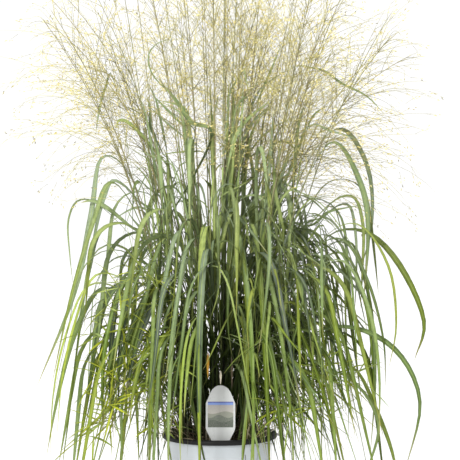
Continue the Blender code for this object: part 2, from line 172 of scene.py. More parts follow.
class Wiring:
    # one finish, and short names for the nodes that the finishes share
    def __init__(self, name):
        self.finish = bpy.data.materials.new(name)
        self.finish.use_nodes = True
        self.tree = self.finish.node_tree
        self.shader = self.tree.nodes["Principled BSDF"]

    def node(self, kind, **settings):
        made = self.tree.nodes.new(kind)
        for key, value in settings.items():
            setattr(made, key, value)
        return made

    def join(self, source, target):
        self.tree.links.new(source, target)

    def feed(self, sockets, givens):
        # a number or a colour is set on its socket, and what another node makes is joined to it
        for socket, given in zip(sockets, givens):
            if isinstance(given, tuple):
                socket.default_value = (*given, 1.0)
            elif isinstance(given, (int, float)):
                socket.default_value = given
            elif given is not None:
                self.join(given, socket)

    def value(self, name):
        # a number that the mesh carries at each corner
        return self.node("ShaderNodeAttribute", attribute_name=name).outputs["Fac"]

    def math(self, operation, first, second=0.0, third=None):
        made = self.node("ShaderNodeMath", operation=operation)
        self.feed(made.inputs, (first, second, third))
        return made.outputs[0]

    def times(self, first, second):
        return self.math("MULTIPLY", first, second)

    def plus(self, first, *others):
        for other in others:
            first = self.math("ADD", first, other)
        return first

    def vector(self, x, y, z=0.0):
        made = self.node("ShaderNodeCombineXYZ")
        self.feed(made.inputs, (x, y, z))
        return made.outputs[0]

    def place(self):
        return self.node("ShaderNodeTexCoord").outputs["Object"]

    def along(self, axis):
        where = self.node("ShaderNodeSeparateXYZ")
        self.join(self.place(), where.inputs[0])
        return where.outputs[axis]

    def height(self):
        return self.along("Z")

    def away(self):
        # the distance from the plant's upright middle line
        x, y = self.along("X"), self.along("Y")
        return self.math("SQRT", self.math("MULTIPLY_ADD", x, x, self.times(y, y)))

    def paintedShadeArea(self):
        # 1 in the middle of the clump, low down, where painted shade darkens the colour, falling to 0 outside
        # it
        near = self.range(self.away(), *paintedShadeArea["away"])
        return self.times(near, self.range(self.height(), *paintedShadeArea["height"]))

    def noise(self, where, scale, detail=3.0, roughness=0.55):
        made = self.node("ShaderNodeTexNoise")
        sockets = [made.inputs[name] for name in ("Vector", "Scale", "Detail", "Roughness")]
        self.feed(sockets, (where, scale, detail, roughness))
        return made.outputs["Fac"]

    def streaks(self, looks):
        # a noise that runs along a blade and differs from blade to blade
        stretched = [self.times(self.value(name), scale) for name, scale in looks["streaks"].items()]
        return self.noise(self.vector(*stretched), looks["streakScale"], 4.0)

    def ramp(self, share, stops):
        made = self.node("ShaderNodeValToRGB")
        elements = made.color_ramp.elements
        while len(elements) < len(stops):
            elements.new(0.5)
        for element, (position, colour) in zip(elements, stops):
            element.position = position
            element.color = (*colour, 1.0)
        self.join(share, made.inputs["Fac"])
        return made.outputs["Color"]

    def range(self, share, low, high, start=0.0, end=1.0):
        # from low to high, as share goes from start to end
        made = self.node("ShaderNodeMapRange")
        self.feed(made.inputs, (share, start, end, low, high))
        return made.outputs["Result"]

    def swing(self, noise, low, high):
        # the same over the middle of a noise, where most of it lies
        return self.range(noise, low, high, 0.3, 0.7)

    def tint(self, share, first, second, mode="MIX"):
        made = self.node("ShaderNodeMix", data_type="RGBA", blend_type=mode)
        self.feed([socket for socket in made.inputs if socket.enabled], (share, first, second))
        return next(socket for socket in made.outputs if socket.enabled)

    def letThrough(self, colour, share):
        # thin living parts glow with the light behind them
        through = self.node("ShaderNodeBsdfTranslucent")
        self.join(colour, through.inputs["Color"])
        both = self.node("ShaderNodeMixShader")
        self.feed(both.inputs, (share, self.shader.outputs[0], through.outputs[0]))
        self.join(both.outputs[0], self.tree.nodes["Material Output"].inputs["Surface"])

    def bump(self, height, distance, strength):
        made = self.node("ShaderNodeBump")
        sockets = [made.inputs[name] for name in ("Strength", "Distance", "Height")]
        self.feed(sockets, (strength, distance, height))
        return made.outputs["Normal"]

    def dress(self, colour, roughness, relief=None, gloss=None):
        # what every finish ends in
        self.join(colour, self.shader.inputs["Base Color"])
        self.join(roughness, self.shader.inputs["Roughness"])
        if relief is not None:
            self.join(relief, self.shader.inputs["Normal"])
        if gloss is not None:
            self.shader.inputs["Specular IOR Level"].default_value = gloss
        return self.finish


# in all the looks, four numbers are a range: from the first to the second, between the last two
# painted shade: the range of distance from the middle line and of height over which the inside of the clump
# is darkened
paintedShadeArea = {"away": (1.0, 0.0, 0.085, 0.20), "height": (1.0, 0.0, 0.42, 0.63)}

leafLooks = {
    "greens": (
        (0.00, (0.020, 0.036, 0.003)),
        (0.18, (0.060, 0.096, 0.012)),
        (0.38, (0.144, 0.220, 0.037)),
        (0.56, (0.230, 0.303, 0.102)),
        (0.74, (0.240, 0.310, 0.115)),
        (0.90, (0.245, 0.335, 0.035)),
        (1.00, (0.400, 0.475, 0.070)),
    ),
    # painted shade: the near-black green that blades inside the clump are darkened to, and how much
    "paintedShade": (0.008, 0.016, 0.002),
    "paintedShadeShare": 0.92,
    "upperColour": (0.31, 0.36, 0.24),
    "upperHeights": (0.0, 0.46, 0.40, 0.66),
    # painted light: blades are lifted to a lighter shade higher up the clump
    "paintedLightHigh": (0.0, 0.08, 0.40, 0.70),
    # painted light: the leaves at the left, below the middle height, are lighter
    "paintedLightLeft": 0.13,
    "paintedLightLeftPlaces": (1.0, 0.0, -0.26, -0.10),
    "paintedLightLeftHeights": (1.0, 0.0, 0.50, 0.66),
    "lowerTint": (0.98, 1.0, 0.60),
    "lowerHeights": (0.60, 0.0, 0.34, 0.56),
    # each blade has one hue from end to end: some are yellower, some greyer
    "hues": 173.0,
    "yellower": (1.0, 0.90, 0.42),
    "yellowHues": (1.0, 0.0, 0.36, 0.50),
    "yellowHeights": (1.0, 0.45, 0.50, 0.68),
    "greyer": (0.010, 0.000, 0.048),
    "greyHues": (0.0, 1.0, 0.50, 0.64),
    # dry tips
    "tipColour": (0.46, 0.38, 0.15),
    "tipShares": (0.0, 1.0, 0.86, 1.0),
    "tipStreaks": (0.2, 1.0, 0.4, 0.6),
    "streaks": {"across": 3.0, "along": 2.5, "shade": 61.0},
    "streakScale": 2.2,
    "streakTone": (-0.16, 0.16),
    # blotches, and a darker edge
    "blotch": (0.045, 0.080, 0.012),
    "blotches": (0.0, 0.45, 0.45, 0.75),
    "blotchScale": 90.0,
    "edges": (0.0, 0.42, 0.55, 1.0),
    "ribColour": (0.32, 0.41, 0.12),
    "rib": (0.75, 0.0, 0.02, 0.16),
    "glow": (0.42, 0.55, 0.08),
    "glowTint": 0.55,
    "glowShare": 0.20,
    "roughness": (0.34, 0.54),
    "gloss": 0.14,
    "veins": 26.0,
    "veinRise": 0.35,
    "ribSink": -1.2,
    "reliefDepth": 0.00012,
    "reliefStrength": 0.6,
}


def leafFinish():
    looks = leafLooks
    w = Wiring("leafBlade")
    shade, along, across = w.value("shade"), w.value("along"), w.value("across")
    height, offCentre = w.height(), w.math("ABSOLUTE", across)
    streaks = w.streaks(looks)
    mottle = w.noise(w.place(), looks["blotchScale"])
    hue = w.noise(w.vector(w.times(shade, looks["hues"]), 0.5), 1.0, 0.0)
    # the shade varies with the streaks, and painted light lifts it higher up the clump
    picked = w.plus(shade, w.swing(streaks, *looks["streakTone"]), w.range(height, *looks["paintedLightHigh"]))
    # painted light: blades at the left and low down are lifted to a lighter shade
    atLeft = w.times(w.range(w.along("X"), *looks["paintedLightLeftPlaces"]), w.range(height, *looks["paintedLightLeftHeights"]))
    green = w.ramp(w.math("MULTIPLY_ADD", atLeft, looks["paintedLightLeft"], picked), looks["greens"])
    yellow = w.times(w.range(hue, *looks["yellowHues"]), w.range(height, *looks["yellowHeights"]))
    dryTip = w.times(w.range(along, *looks["tipShares"]), w.range(streaks, *looks["tipStreaks"]))
    rib = w.range(offCentre, *looks["rib"])
    for share, colour, mode in (
        (w.range(height, *looks["upperHeights"]), "upperColour", "MIX"),
        (w.range(height, *looks["lowerHeights"]), "lowerTint", "MULTIPLY"),
        (yellow, "yellower", "MULTIPLY"),
        (w.range(hue, *looks["greyHues"]), "greyer", "ADD"),
        (w.range(mottle, *looks["blotches"]), "blotch", "MIX"),
        (w.range(offCentre, *looks["edges"]), "blotch", "MIX"),
        (rib, "ribColour", "MIX"),
        (dryTip, "tipColour", "MIX"),
        # painted shade darkens the blades inside the clump, low down near its middle
        (w.times(w.paintedShadeArea(), looks["paintedShadeShare"]), "paintedShade", "MIX"),
    ):
        green = w.tint(share, green, looks[colour], mode)
    veins = w.math("SINE", w.times(across, looks["veins"]))
    relief = w.plus(w.times(veins, looks["veinRise"]), w.times(rib, looks["ribSink"]))
    relief = w.bump(relief, looks["reliefDepth"], looks["reliefStrength"])
    w.letThrough(w.tint(looks["glowTint"], green, looks["glow"]), looks["glowShare"])
    return w.dress(green, w.swing(mottle, *looks["roughness"]), relief, looks["gloss"])


stemLooks = {
    "colours": (
        (0.00, (0.045, 0.062, 0.018)),
        (0.30, (0.220, 0.260, 0.120)),
        (0.50, (0.165, 0.176, 0.080)),
        (0.72, (0.172, 0.165, 0.078)),
        (1.00, (0.330, 0.290, 0.130)),
    ),
    # painted shade: the brown-black that culms inside the clump are darkened to, and how much
    "paintedShade": (0.012, 0.010, 0.004),
    "paintedShadeShare": 0.92,
    "alongShare": 0.55,
    "grooves": 60.0,
    "grooveDepth": 0.0002,
    "grooveStrength": 0.5,
    "blush": (0.22, 0.14, 0.12),
    "blushes": (0.0, 0.5, 0.5, 0.72),
    "roughness": (0.38, 0.60),
    "gloss": 0.14,
}


def stemFinish():
    looks = stemLooks
    w = Wiring("culmStem")
    grooves = w.noise(w.place(), looks["grooves"], 4.0)
    share = looks["alongShare"]
    tone = w.plus(w.times(w.value("along"), share), w.times(w.value("shade"), 1 - share))
    green = w.ramp(tone, looks["colours"])
    green = w.tint(w.range(grooves, *looks["blushes"]), green, looks["blush"])
    # painted shade darkens the culms inside the clump, low down near its middle
    green = w.tint(w.times(w.paintedShadeArea(), looks["paintedShadeShare"]), green, looks["paintedShade"])
    relief = w.bump(grooves, looks["grooveDepth"], looks["grooveStrength"])
    return w.dress(green, w.swing(grooves, *looks["roughness"]), relief, looks["gloss"])


headLooks = {
    "branches": ((0.0, (0.075, 0.076, 0.028)), (0.5, (0.45, 0.412, 0.135)), (1.0, (0.87, 0.785, 0.34))),
    "spikelets": (
        (0.00, (0.17, 0.14, 0.07)),
        (0.25, (0.36, 0.36, 0.18)),
        (0.50, (0.61, 0.535, 0.18)),
        (0.75, (0.83, 0.74, 0.28)),
        (1.00, (0.94, 0.88, 0.48)),
    ),
    # tones over the clump's height and away from its middle, and in patches
    "heightTone": (-0.30, 0.12, 0.65, 1.10),
    "outerTone": (0.0, 0.35, 0.24, 0.38),
    "patches": 26.0,
    "patchTone": (-0.26, 0.26, 0.35, 0.65),
    "goldPatches": 15.0,
    "goldTone": (0.0, 0.65, 0.54, 0.62),
    "gold": (0.60, 0.48, 0.14),
    "flecks": 420.0,
    "fleckTone": (-0.15, 0.15),
    "fleckDepth": 0.0003,
    "branchFlecks": 140.0,
    "branchTone": (0.0, 0.5, 0.45, 0.7),
    "brown": (0.17, 0.12, 0.09),
    "glow": (0.95, 0.86, 0.52),
    "glowShare": 0.40,
    "roughness": (0.50, 0.75),
    "gloss": 0.25,
}


def branchFinish():
    looks = headLooks
    w = Wiring("headBranch")
    flecks = w.noise(w.place(), looks["branchFlecks"])
    tan = w.ramp(w.plus(w.times(w.value("along"), 0.5), w.times(w.value("shade"), 0.5)), looks["branches"])
    tan = w.tint(w.range(flecks, *looks["branchTone"]), tan, looks["brown"])
    return w.dress(tan, w.swing(flecks, *looks["roughness"]), gloss=looks["gloss"])


def spikeletFinish():
    looks = headLooks
    w = Wiring("spikelet")
    flecks = w.noise(w.place(), looks["flecks"])
    lift = w.plus(w.range(w.height(), *looks["heightTone"]), w.range(w.away(), *looks["outerTone"]))
    share = w.plus(w.value("shade"), lift, w.swing(flecks, *looks["fleckTone"]))
    share = w.plus(share, w.range(w.noise(w.place(), looks["patches"]), *looks["patchTone"]))
    golden = w.range(w.noise(w.place(), looks["goldPatches"], 1.0), *looks["goldTone"])
    cream = w.tint(golden, w.ramp(share, looks["spikelets"]), looks["gold"])
    w.letThrough(w.tint(0.5, cream, looks["glow"]), looks["glowShare"])
    relief = w.bump(flecks, looks["fleckDepth"], 0.5)
    return w.dress(cream, w.swing(flecks, *looks["roughness"]), relief, looks["gloss"])


strawLooks = {
    "colours": (
        (0.00, (0.560, 0.310, 0.035)),
        (0.10, (0.480, 0.250, 0.035)),
        (0.22, (0.030, 0.021, 0.012)),
        (0.50, (0.110, 0.084, 0.050)),
        (0.75, (0.480, 0.400, 0.260)),
        (1.00, (0.640, 0.590, 0.460)),
    ),
    "streaks": {"across": 8.0, "along": 1.0, "shade": 37.0},
    "streakScale": 3.0,
    "streakTone": (-0.10, 0.10),
    "streakDepth": 0.0002,
    "streakStrength": 0.6,
    "roughness": (0.55, 0.85),
    "gloss": 0.20,
}


def strawFinish():
    looks = strawLooks
    w = Wiring("dryStraw")
    streaks = w.streaks(looks)
    tan = w.ramp(w.plus(w.value("shade"), w.swing(streaks, *looks["streakTone"])), looks["colours"])
    relief = w.bump(streaks, looks["streakDepth"], looks["streakStrength"])
    return w.dress(tan, w.swing(streaks, *looks["roughness"]), relief, looks["gloss"])


tillerFinishes = [leafFinish(), stemFinish(), branchFinish(), spikeletFinish(), strawFinish()]
leafSlot, stemSlot, branchSlot, spikeletSlot, strawSlot = range(5)
print("plant finishes ready")


# the tillers' plans: the same seeds, curves and order of draws as the solids
clump = {
    "seed": 2600,
    "around": 34,
    "centre": 4,
    "baseRadii": (0.078, 0.038, 0.060, 0.046, 0.070),
    "baseShift": (-0.003, 0.003),
    "front": (24, 25, 26, 27),
    "frontRadii": (0.040, 0.050),
    "frontRaise": (0.10, 0.05),
    "frontShorter": 0.62,
    # the short ones at the centre
    "centreRadius": 0.013,
    "centreLength": 0.985,
    "centreLengthSpread": (0.95, 1.0),
    "centreBlade": {
        "length": 0.32,
        "rise": math.radians(2.0),
        "droop": math.radians(2.0),
        "bend": 0.30,
        "ease": 0.22,
        "halfWidth": 0.0042,
        "yaw": 0.0,
    },
    "centreTopLean": math.radians(0.8),
    "coreRadius": 0.029,
    "rootGap": 0.0003,
    # what the further blades, the flower heads and the gaps are drawn from
    "bladeSeed": 9100,
    "headSeed": 4700,
    "gapSeed": 300,
}

culms = {
    "radius": 0.0017,
    "tipRadius": 0.0005,
    "taper": 1.5,
    "lengths": (0.96, 0.90),
    "lean": (math.radians(1.5), math.radians(8.0)),
    "topLean": (math.radians(7.0), math.radians(42.0)),
    "bend": 1.7,
    "lengthSpread": (0.93, 1.03),
    "leanSpread": (0.75, 1.20),
    # stations along it, and the swollen joints below its blades
    "stations": 38,
    "jointDrop": 0.09,
    "jointHalf": 0.004,
    "jointSwell": 1.35,
    "lowestJoint": 0.03,
    # culms that lean further than their neighbours: angle at the top, length
    "leaning": {
        1: (math.radians(66), 0.93),
        33: (math.radians(52), 0.90),
        16: (math.radians(56), 0.97),
        18: (math.radians(48), 1.00),
    },
}

blades = {
    # from the lowest up: height on the culm, length, angle off the culm
    "kinds": (
        ((0.27, 0.34), (0.50, 0.66), (13, 24)),
        ((0.39, 0.48), (0.44, 0.60), (10, 20)),
        ((0.53, 0.63), (0.34, 0.46), (8, 15)),
    ),
    "droop": (164, 178),
    "bend": (0.28, 0.40),
    "ease": (0.18, 0.30),
    "halfWidth": (0.0042, 0.0060),
    "yaw": math.radians(5.7),
    "lowestTip": 0.055,
    "shortening": 0.96,
    "thickness": 0.0005,
    "tipThickness": 0.5,
    "fold": 0.28,
    "tipFold": 0.4,
    "footWidth": 0.24,
    "taper": 1.7,
    # the twist goes from the roll at the foot to the roll at the tip
    "twistPace": 1.35,
    "twistWait": 0.15,
    "stations": 26,
    # blades that stand out: tiller, then its order, turn, height on the culm, half width and
    # (radius, height) places
    "marked": {
        0: (1, 1, 0.43, 0.0064, ((0.20, 0.60), (0.285, 0.625), (0.36, 0.56), (0.41, 0.45), (0.39, 0.36))),
        33: (0, 1, 0.30, 0.0060, ((0.15, 0.40), (0.25, 0.44), (0.35, 0.40), (0.40, 0.30), (0.37, 0.16))),
        2: (2, 1, 0.55, 0.0056, ((0.20, 0.77), (0.28, 0.84), (0.345, 0.76), (0.355, 0.64), (0.32, 0.53))),
        32: (2, 1, 0.56, 0.0060, ((0.18, 0.73), (0.235, 0.80), (0.285, 0.72), (0.30, 0.63), (0.29, 0.48))),
        17: (2, 1, 0.56, 0.0060, ((0.18, 0.74), (0.235, 0.77), (0.255, 0.66), (0.29, 0.50), (0.365, 0.31))),
        19: (2, 1, 0.53, 0.0058, ((0.18, 0.67), (0.23, 0.72), (0.265, 0.64), (0.31, 0.50), (0.35, 0.33))),
        16: (0, 1, 0.30, 0.0058, ((0.17, 0.46), (0.25, 0.51), (0.31, 0.42), (0.35, 0.29), (0.38, 0.15))),
        25: (0, 1, 0.40, 0.0062, ((0.11, 0.57), (0.17, 0.58), (0.21, 0.47), (0.22, 0.30), (0.22, 0.12))),
    },
}

heads = {
    "whorls": (0.63, 0.80),
    "length": (0.17, 0.23),
    "bend": 1.6,
    "outerRise": (24, 36),
    "outerNod": (25, 50),
    "innerRise": (14, 22),
    "innerNod": 30,
}

outerSide, innerSide = 1, 3

soil = {"level": 0.199, "dome": 0.005, "ringShare": 0.6, "gap": 0.0006}

pot = {
    "height": 0.225,
    "lipRadius": 0.1145,
    "lipHeight": 0.009,
    "wallTopRadius": 0.1045,
    "baseRadius": 0.088,
    "wall": 0.0018,
    "floor": 0.0025,
    "baseRound": 0.004,
    "stepDepth": 0.0012,
    "stepDrops": (0.005, 0.014),
    "turnSteps": 160,
    "drainHoles": 6,
    "drainRadius": 0.006,
}


def wallRadius(z):
    return between(pot["baseRadius"], pot["wallTopRadius"], z / pot["height"])


soilRadius = (wallRadius(soil["level"]) - pot["wall"]) * math.cos(math.pi / 36) - soil["gap"]


def soilTop(radius):
    # the potting mix is a low dome: two straight slopes in the solid
    share = soil["ringShare"]
    top = soil["level"] + soil["dome"]
    middle = soil["level"] + soil["dome"] * (1 - share**2)
    if radius < share * soilRadius:
        return between(top, middle, radius / (share * soilRadius))
    return between(middle, soil["level"], (radius - share * soilRadius) / ((1 - share) * soilRadius))


def drawnBlade(draw, heights, lengths, rises, droops, bends, eases, halfWidths):
    return {
        "height": draw.uniform(*heights),
        "length": draw.uniform(*lengths),
        "rise": math.radians(draw.uniform(*rises)),
        "droop": math.radians(draw.uniform(*droops)),
        "bend": draw.uniform(*bends),
        "ease": draw.uniform(*eases),
        "halfWidth": draw.uniform(*halfWidths),
    }


def tillerPlan(index):
    draw = random.Random(clump["seed"] + index)
    if index >= clump["around"]:
        length = clump["centreLength"] * draw.uniform(*clump["centreLengthSpread"])
        blade = dict(clump["centreBlade"], height=draw.uniform(*blades["kinds"][2][0]))
        return {
            "draw": draw,
            "azimuth": (index - clump["around"] + 0.5) * 2 * math.pi / clump["centre"],
            "base": clump["centreRadius"],
            "lean": 0.0,
            "topLean": clump["centreTopLean"],
            "length": length,
            "blades": [blade],
            "branchSides": (),
        }
    radii = clump["baseRadii"]
    base = radii[index % len(radii)] + draw.uniform(*clump["baseShift"])
    if index in clump["front"]:
        base = draw.uniform(*clump["frontRadii"])
    spread = (base - min(radii)) / (max(radii) - min(radii))
    topLean = between(*culms["topLean"], spread) * draw.uniform(*culms["leanSpread"])
    length = between(*culms["lengths"], spread) * draw.uniform(*culms["lengthSpread"])
    if index in culms["leaning"]:
        topLean, length = culms["leaning"][index]
    return {
        "draw": draw,
        "azimuth": index * 2 * math.pi / clump["around"],
        "base": base,
        "lean": between(*culms["lean"], spread),
        "topLean": topLean,
        "length": length,
        "blades": plannedBlades(draw, index),
        "branchSides": ((outerSide, innerSide), (innerSide,) if index % 2 else (outerSide,)),
    }


def plannedBlades(draw, index):
    turn = draw.choice((-1, 1))
    if index in blades["marked"]:
        markedOrder, turn, *marked = blades["marked"][index]
    planned = []
    shared = [blades[name] for name in ("droop", "bend", "ease", "halfWidth")]
    for order, kind in enumerate(blades["kinds"]):
        blade = drawnBlade(draw, *kind, *shared)
        blade["yaw"] = turn * (order - 1) * blades["yaw"]
        if index in blades["marked"] and order == markedOrder:
            blade["height"], blade["halfWidth"], blade["knots"] = marked
        elif index in clump["front"] and order < 2:
            blade["height"] += clump["frontRaise"][order]
            blade["length"] *= clump["frontShorter"]
        planned.append(blade)
    return planned


def spaced(line, shares):
    # places at shares of a finely stepped line
    at = np.linspace(0, 1, len(line))
    return np.stack([np.interp(shares, at, line[:, axis]) for axis in range(3)], axis=-1)


def bendAlong(start, azimuth, length, tiltAt, shares, steps=400):
    # a curve in the upright plane of one azimuth, whose angle from upright is tiltAt(share)
    tilts = tiltAt((np.arange(steps) + 0.5) / steps)[:, None]
    ahead = np.sin(tilts) * outward(azimuth) + np.cos(tilts) * upward
    return spaced(np.vstack((start, start + np.cumsum(ahead, axis=0) * (length / steps))), shares)


def throughKnots(start, azimuth, knots, shares, steps=40):
    # a smooth curve from start through (radius, height) places in the plane of one azimuth
    out = outward(azimuth)
    beside = start - out * start.dot(out)
    points = [start] + [np.array((beside[0], beside[1], z)) + out * r for r, z in knots]
    ends = [points[0] * 2 - points[1]] + points + [points[-1] * 2 - points[-2]]
    line = [start]
    t = (np.arange(1, steps + 1) / steps)[:, None]
    for a, b, c, d in zip(ends, ends[1:], ends[2:], ends[3:]):
        bend = b * 2 + (c - a) * t + (a * 2 - b * 5 + c * 4 - d) * t**2
        line += list((bend + (b * 3 - a - c * 3 + d) * t**3) / 2)
    return spaced(np.array(line), shares)


def culmTilt(plan, share):
    return between(plan["lean"], plan["topLean"], share ** culms["bend"])


def culmPlaces(plan, shares):
    foot = plan.get("foot")
    if foot is None:
        foot = outward(plan["azimuth"]) * plan["base"]
        foot[2] = soilTop(plan["base"]) + clump["rootGap"]
        plan["foot"] = foot
    return bendAlong(foot, plan["azimuth"], plan["length"], lambda s: culmTilt(plan, s), np.asarray(shares))


def bladeLine(blade, start, azimuth, leanHere):
    shares = np.linspace(0, 1, blades["stations"])
    if "knots" in blade:
        return throughKnots(start, azimuth, blade["knots"], shares)
    rise = leanHere + blade["rise"]

    def tiltAt(share):
        turned = easeInOut((share - blade["bend"] + blade["ease"]) / (2 * blade["ease"]))
        return between(rise, blade["droop"], turned)

    length = blade["length"]
    line = bendAlong(start, azimuth, length, tiltAt, shares)
    while line[-1][2] < blades["lowestTip"]:
        length *= blades["shortening"]
        line = bendAlong(start, azimuth, length, tiltAt, shares)
    return line


# what grows on the tillers beyond the solids
extras = {
    # further blades: kind, how many, height on the culm, length, angle off it, angle at the tip,
    # where it bends, over how much of it, half width
    "kinds": (
        (
            "shoot", 3, (0.215, 0.26), (0.1, 0.3), (4, 34),
            (30, 120), (0.4, 0.7), (0.2, 0.4), (0.0014, 0.0036),
        ),
        (
            "low", 4, (0.225, 0.32), (0.22, 0.46), (18, 44),
            (115, 180), (0.28, 0.5), (0.16, 0.34), (0.0012, 0.0036),
        ),
        (
            "skirt", 4, (0.29, 0.46), (0.34, 0.56), (8, 26),
            (150, 196), (0.28, 0.44), (0.14, 0.32), (0.0012, 0.004),
        ),
        (
            "middle", 2, (0.42, 0.62), (0.3, 0.48), (6, 20),
            (120, 192), (0.36, 0.56), (0.14, 0.34), (0.0012, 0.0038),
        ),
        (
            "spreading", 0, (0.32, 0.56), (0.38, 0.6), (24, 50),
            (125, 186), (0.3, 0.56), (0.14, 0.36), (0.0012, 0.0034),
        ),
        (
            "upper", 1, (0.56, 0.78), (0.18, 0.36), (3, 13),
            (20, 150), (0.5, 0.76), (0.18, 0.34), (0.0012, 0.003),
        ),
        (
            "stiff", 1, (0.38, 0.62), (0.2, 0.36), (10, 30),
            (24, 74), (0.5, 0.85), (0.1, 0.4), (0.002, 0.0042),
        ),
        ("flag", 1, (0.54, 0.7), (0.2, 0.34), (1, 8), (4, 70), (0.55, 0.85), (0.14, 0.3), (0.0028, 0.005)),
    ),
    # how many more or fewer blades of a kind on the right and the left side, and in the centre
    "rightMore": {"skirt": 2, "middle": 2, "spreading": 5},
    "leftMore": {"shoot": -1, "low": -2, "skirt": -1, "middle": -1, "stiff": -1},
    "centreMore": {"low": -4, "skirt": -4, "stiff": -1, "middle": -1},
    "fan": math.radians(82),
    "kinked": 0.30,
    "kinkEase": 0.05,
    # blades sway to one side and wobble along their length, those of the solids less
    "sway": 0.16,
    "solidSway": 0.2,
    "wobble": (0.002, 0.012),
    "solidWobble": 0.4,
    "pace": (4, 11),
    "paceShift": 90,
    # turns about the blade's own line, in radians at its foot and its tip
    "footRoll": (-0.5, 0.5),
    "tipRoll": (-2.2, 2.2),
    "faceOn": (0.15, 1.05),
    # the share where a blade is widest, and where one broader than this is
    "widest": (0.30, 0.62),
    "broad": 0.0065,
    "broadWidest": 0.16,
    # shades of the solids' blades, of the placed ones among them, and the palest of the others
    "solidShades": (0.05, 0.70),
    "markedShades": (0.18, 0.44),
    "palest": 0.84,
    # painted light: blades on the left are made lighter in shade by this much, those on the right darker
    "paintedSunSide": 0.10,
    # how far a further blade may spread: height, radius
    "spread": (
        (0.05, 0.4), (0.2, 0.4), (0.35, 0.38), (0.5, 0.335), (0.65, 0.265), (0.8, 0.225), (1.0, 0.22),
    ),
    "spreadRoom": (0.72, 1.04),
    "leftRoom": 0.88,
    "tries": 9,
    "shortening": 0.88,
    "sideFrom": 0.3,
}

secondCulms = {
    "radius": 0.0013,
    "offset": (0.004, 0.009),
    "turn": math.radians(17),
    "topLean": (0.35, 1.25),
    "sideTopLean": (0.20, 0.90),
    "length": (0.86, 1.02),
    "sideLength": (0.98, 1.10),
    "extraLean": math.radians(2),
    "centreExtraLean": math.radians(18),
    "highest": 1.17,
    "lowering": 0.98,
    # where no second culm flowers, and how much shorter it stays there
    "crowded": (-0.058, 0.010),
    "shootLength": 0.62,
}

panicle = {
    # a whorl at each share of the culm: share, how many branches, their length and widest angle
    "whorls": (
        (0.54, 1, 0.16, 58), (0.6, 3, 0.2, 68), (0.66, 3, 0.215, 74), (0.71, 4, 0.205, 72),
        (0.76, 4, 0.19, 66), (0.81, 4, 0.165, 60), (0.86, 4, 0.14, 56), (0.9, 3, 0.115, 52),
        (0.94, 3, 0.085, 48), (0.97, 2, 0.055, 44),
    ),
    "narrowest": 14,
    "fan": (-0.4, 0.4),
    "shift": (-0.006, 0.006),
    "lengthSpread": (0.75, 1.2),
    "tries": 5,
    "shortening": 0.8,
    "sag": (0.05, 0.70),
    "sideSag": 2.6,
    # the lowest whorls stay bare on sparse heads; far to a side, the lowest of all have more branches
    # and the high ones fewer, and full heads have more in every whorl
    "lowWhorls": 3,
    "bareLow": 0.9,
    "farSide": 0.75,
    "rightLowWhorls": 3,
    "sideHighWhorls": -2,
    "lowestWhorls": 2,
    "highWhorls": 5,
    "fullerCount": 0.8,
    # tone and crowding at the centre, and from the crown's inner edge to its outer
    "innerEdge": 0.038,
    "edgeToEdge": 0.04,
    "centreTone": 0.86,
    "tones": (0.76, 0.54),
    "centreCrowding": 0.26,
    "crowdings": (0.54, 0.32),
    # how full a head is by its place across the clump
    "fullness": (
        (-0.3, 0.9), (-0.2, 1.3), (-0.12, 1.1), (-0.05, 0.42), (0.02, 0.5), (0.06, 1.2), (0.1, 1.75),
        (0.16, 1.4), (0.22, 1.0), (0.3, 0.9),
    ),
    "keptMore": 0.22,
    "branchRadius": 0.00050,
    "twigRadius": 0.00030,
    "stalkRadius": 0.00017,
    "twigGap": 0.0260,
    "clumping": (0.5, 2.4),
    "stalkGap": 0.0190,
    "twigs": {
        "fromShare": 0.22,
        "lengths": (0.030, 0.070),
        "angles": (16, 46),
        "sags": (0.1, 0.5),
        "steps": 2,
    },
    "stalks": {
        "fromShare": 0.15,
        "lengths": (0.006, 0.015),
        "angles": (12, 38),
        "sags": (0.0, 0.5),
        "steps": 1,
        "taper": 0.3,
    },
    "spikeletLength": (0.0048, 0.0084),
    "spikeletHalfWidth": 0.00100,
    "spikeletPlump": (0.75, 1.2),
    "spikeletMiddle": 0.42,
    "spikeletCorners": (0.0, 2.094, 4.189),
    "toneSpread": 0.38,
    "toneLimits": (-0.2, 1.1),
    # long branches that trail out of the clump: tiller, share, azimuth, angle from upright, length
    "trails": (
        (0, 0.62, 2, 74, 0.27), (1, 0.6, 8, 66, 0.24), (33, 0.64, 352, 78, 0.26),
        (33, 0.56, 356, 70, 0.24), (1, 0.52, 352, 84, 0.22), (0, 0.54, 348, 80, 0.24),
        (1, 0.66, 0, 88, 0.2), (1, 0.72, 344, 96, 0.18), (33, 0.7, 8, 88, 0.2), (33, 0.6, 340, 92, 0.22),
        (0, 0.68, 356, 84, 0.2), (0, 0.58, 12, 92, 0.22), (1, 0.8, 4, 100, 0.15),
        (33, 0.78, 350, 98, 0.17), (32, 0.6, 350, 82, 0.22), (2, 0.58, 4, 86, 0.22),
        (1, 0.62, 350, 96, 0.22), (0, 0.64, 4, 98, 0.22), (33, 0.66, 352, 96, 0.22),
        (1, 0.58, 2, 100, 0.2), (0, 0.74, 358, 96, 0.2), (32, 0.66, 352, 92, 0.22),
        (2, 0.64, 2, 94, 0.22), (33, 0.56, 0, 88, 0.22), (17, 0.7, 182, 58, 0.24),
        (16, 0.74, 176, 50, 0.22), (18, 0.66, 188, 66, 0.22), (17, 0.6, 176, 80, 0.2),
    ),
    # sizes of the centre's heads and of second heads, and how many second culms flower
    "inner": 0.72,
    "second": 0.85,
    "secondFlowers": 0.55,
}

roomAround = 0.022   # the finest tips may pass the solids' box by this much
lowestGrowth = 0.03   # and nothing that grows hangs lower than this
allowedLow = np.array(cadBox[0]) - roomAround
allowedHigh = np.array(cadBox[1]) + roomAround
allowedLow[2] = lowestGrowth


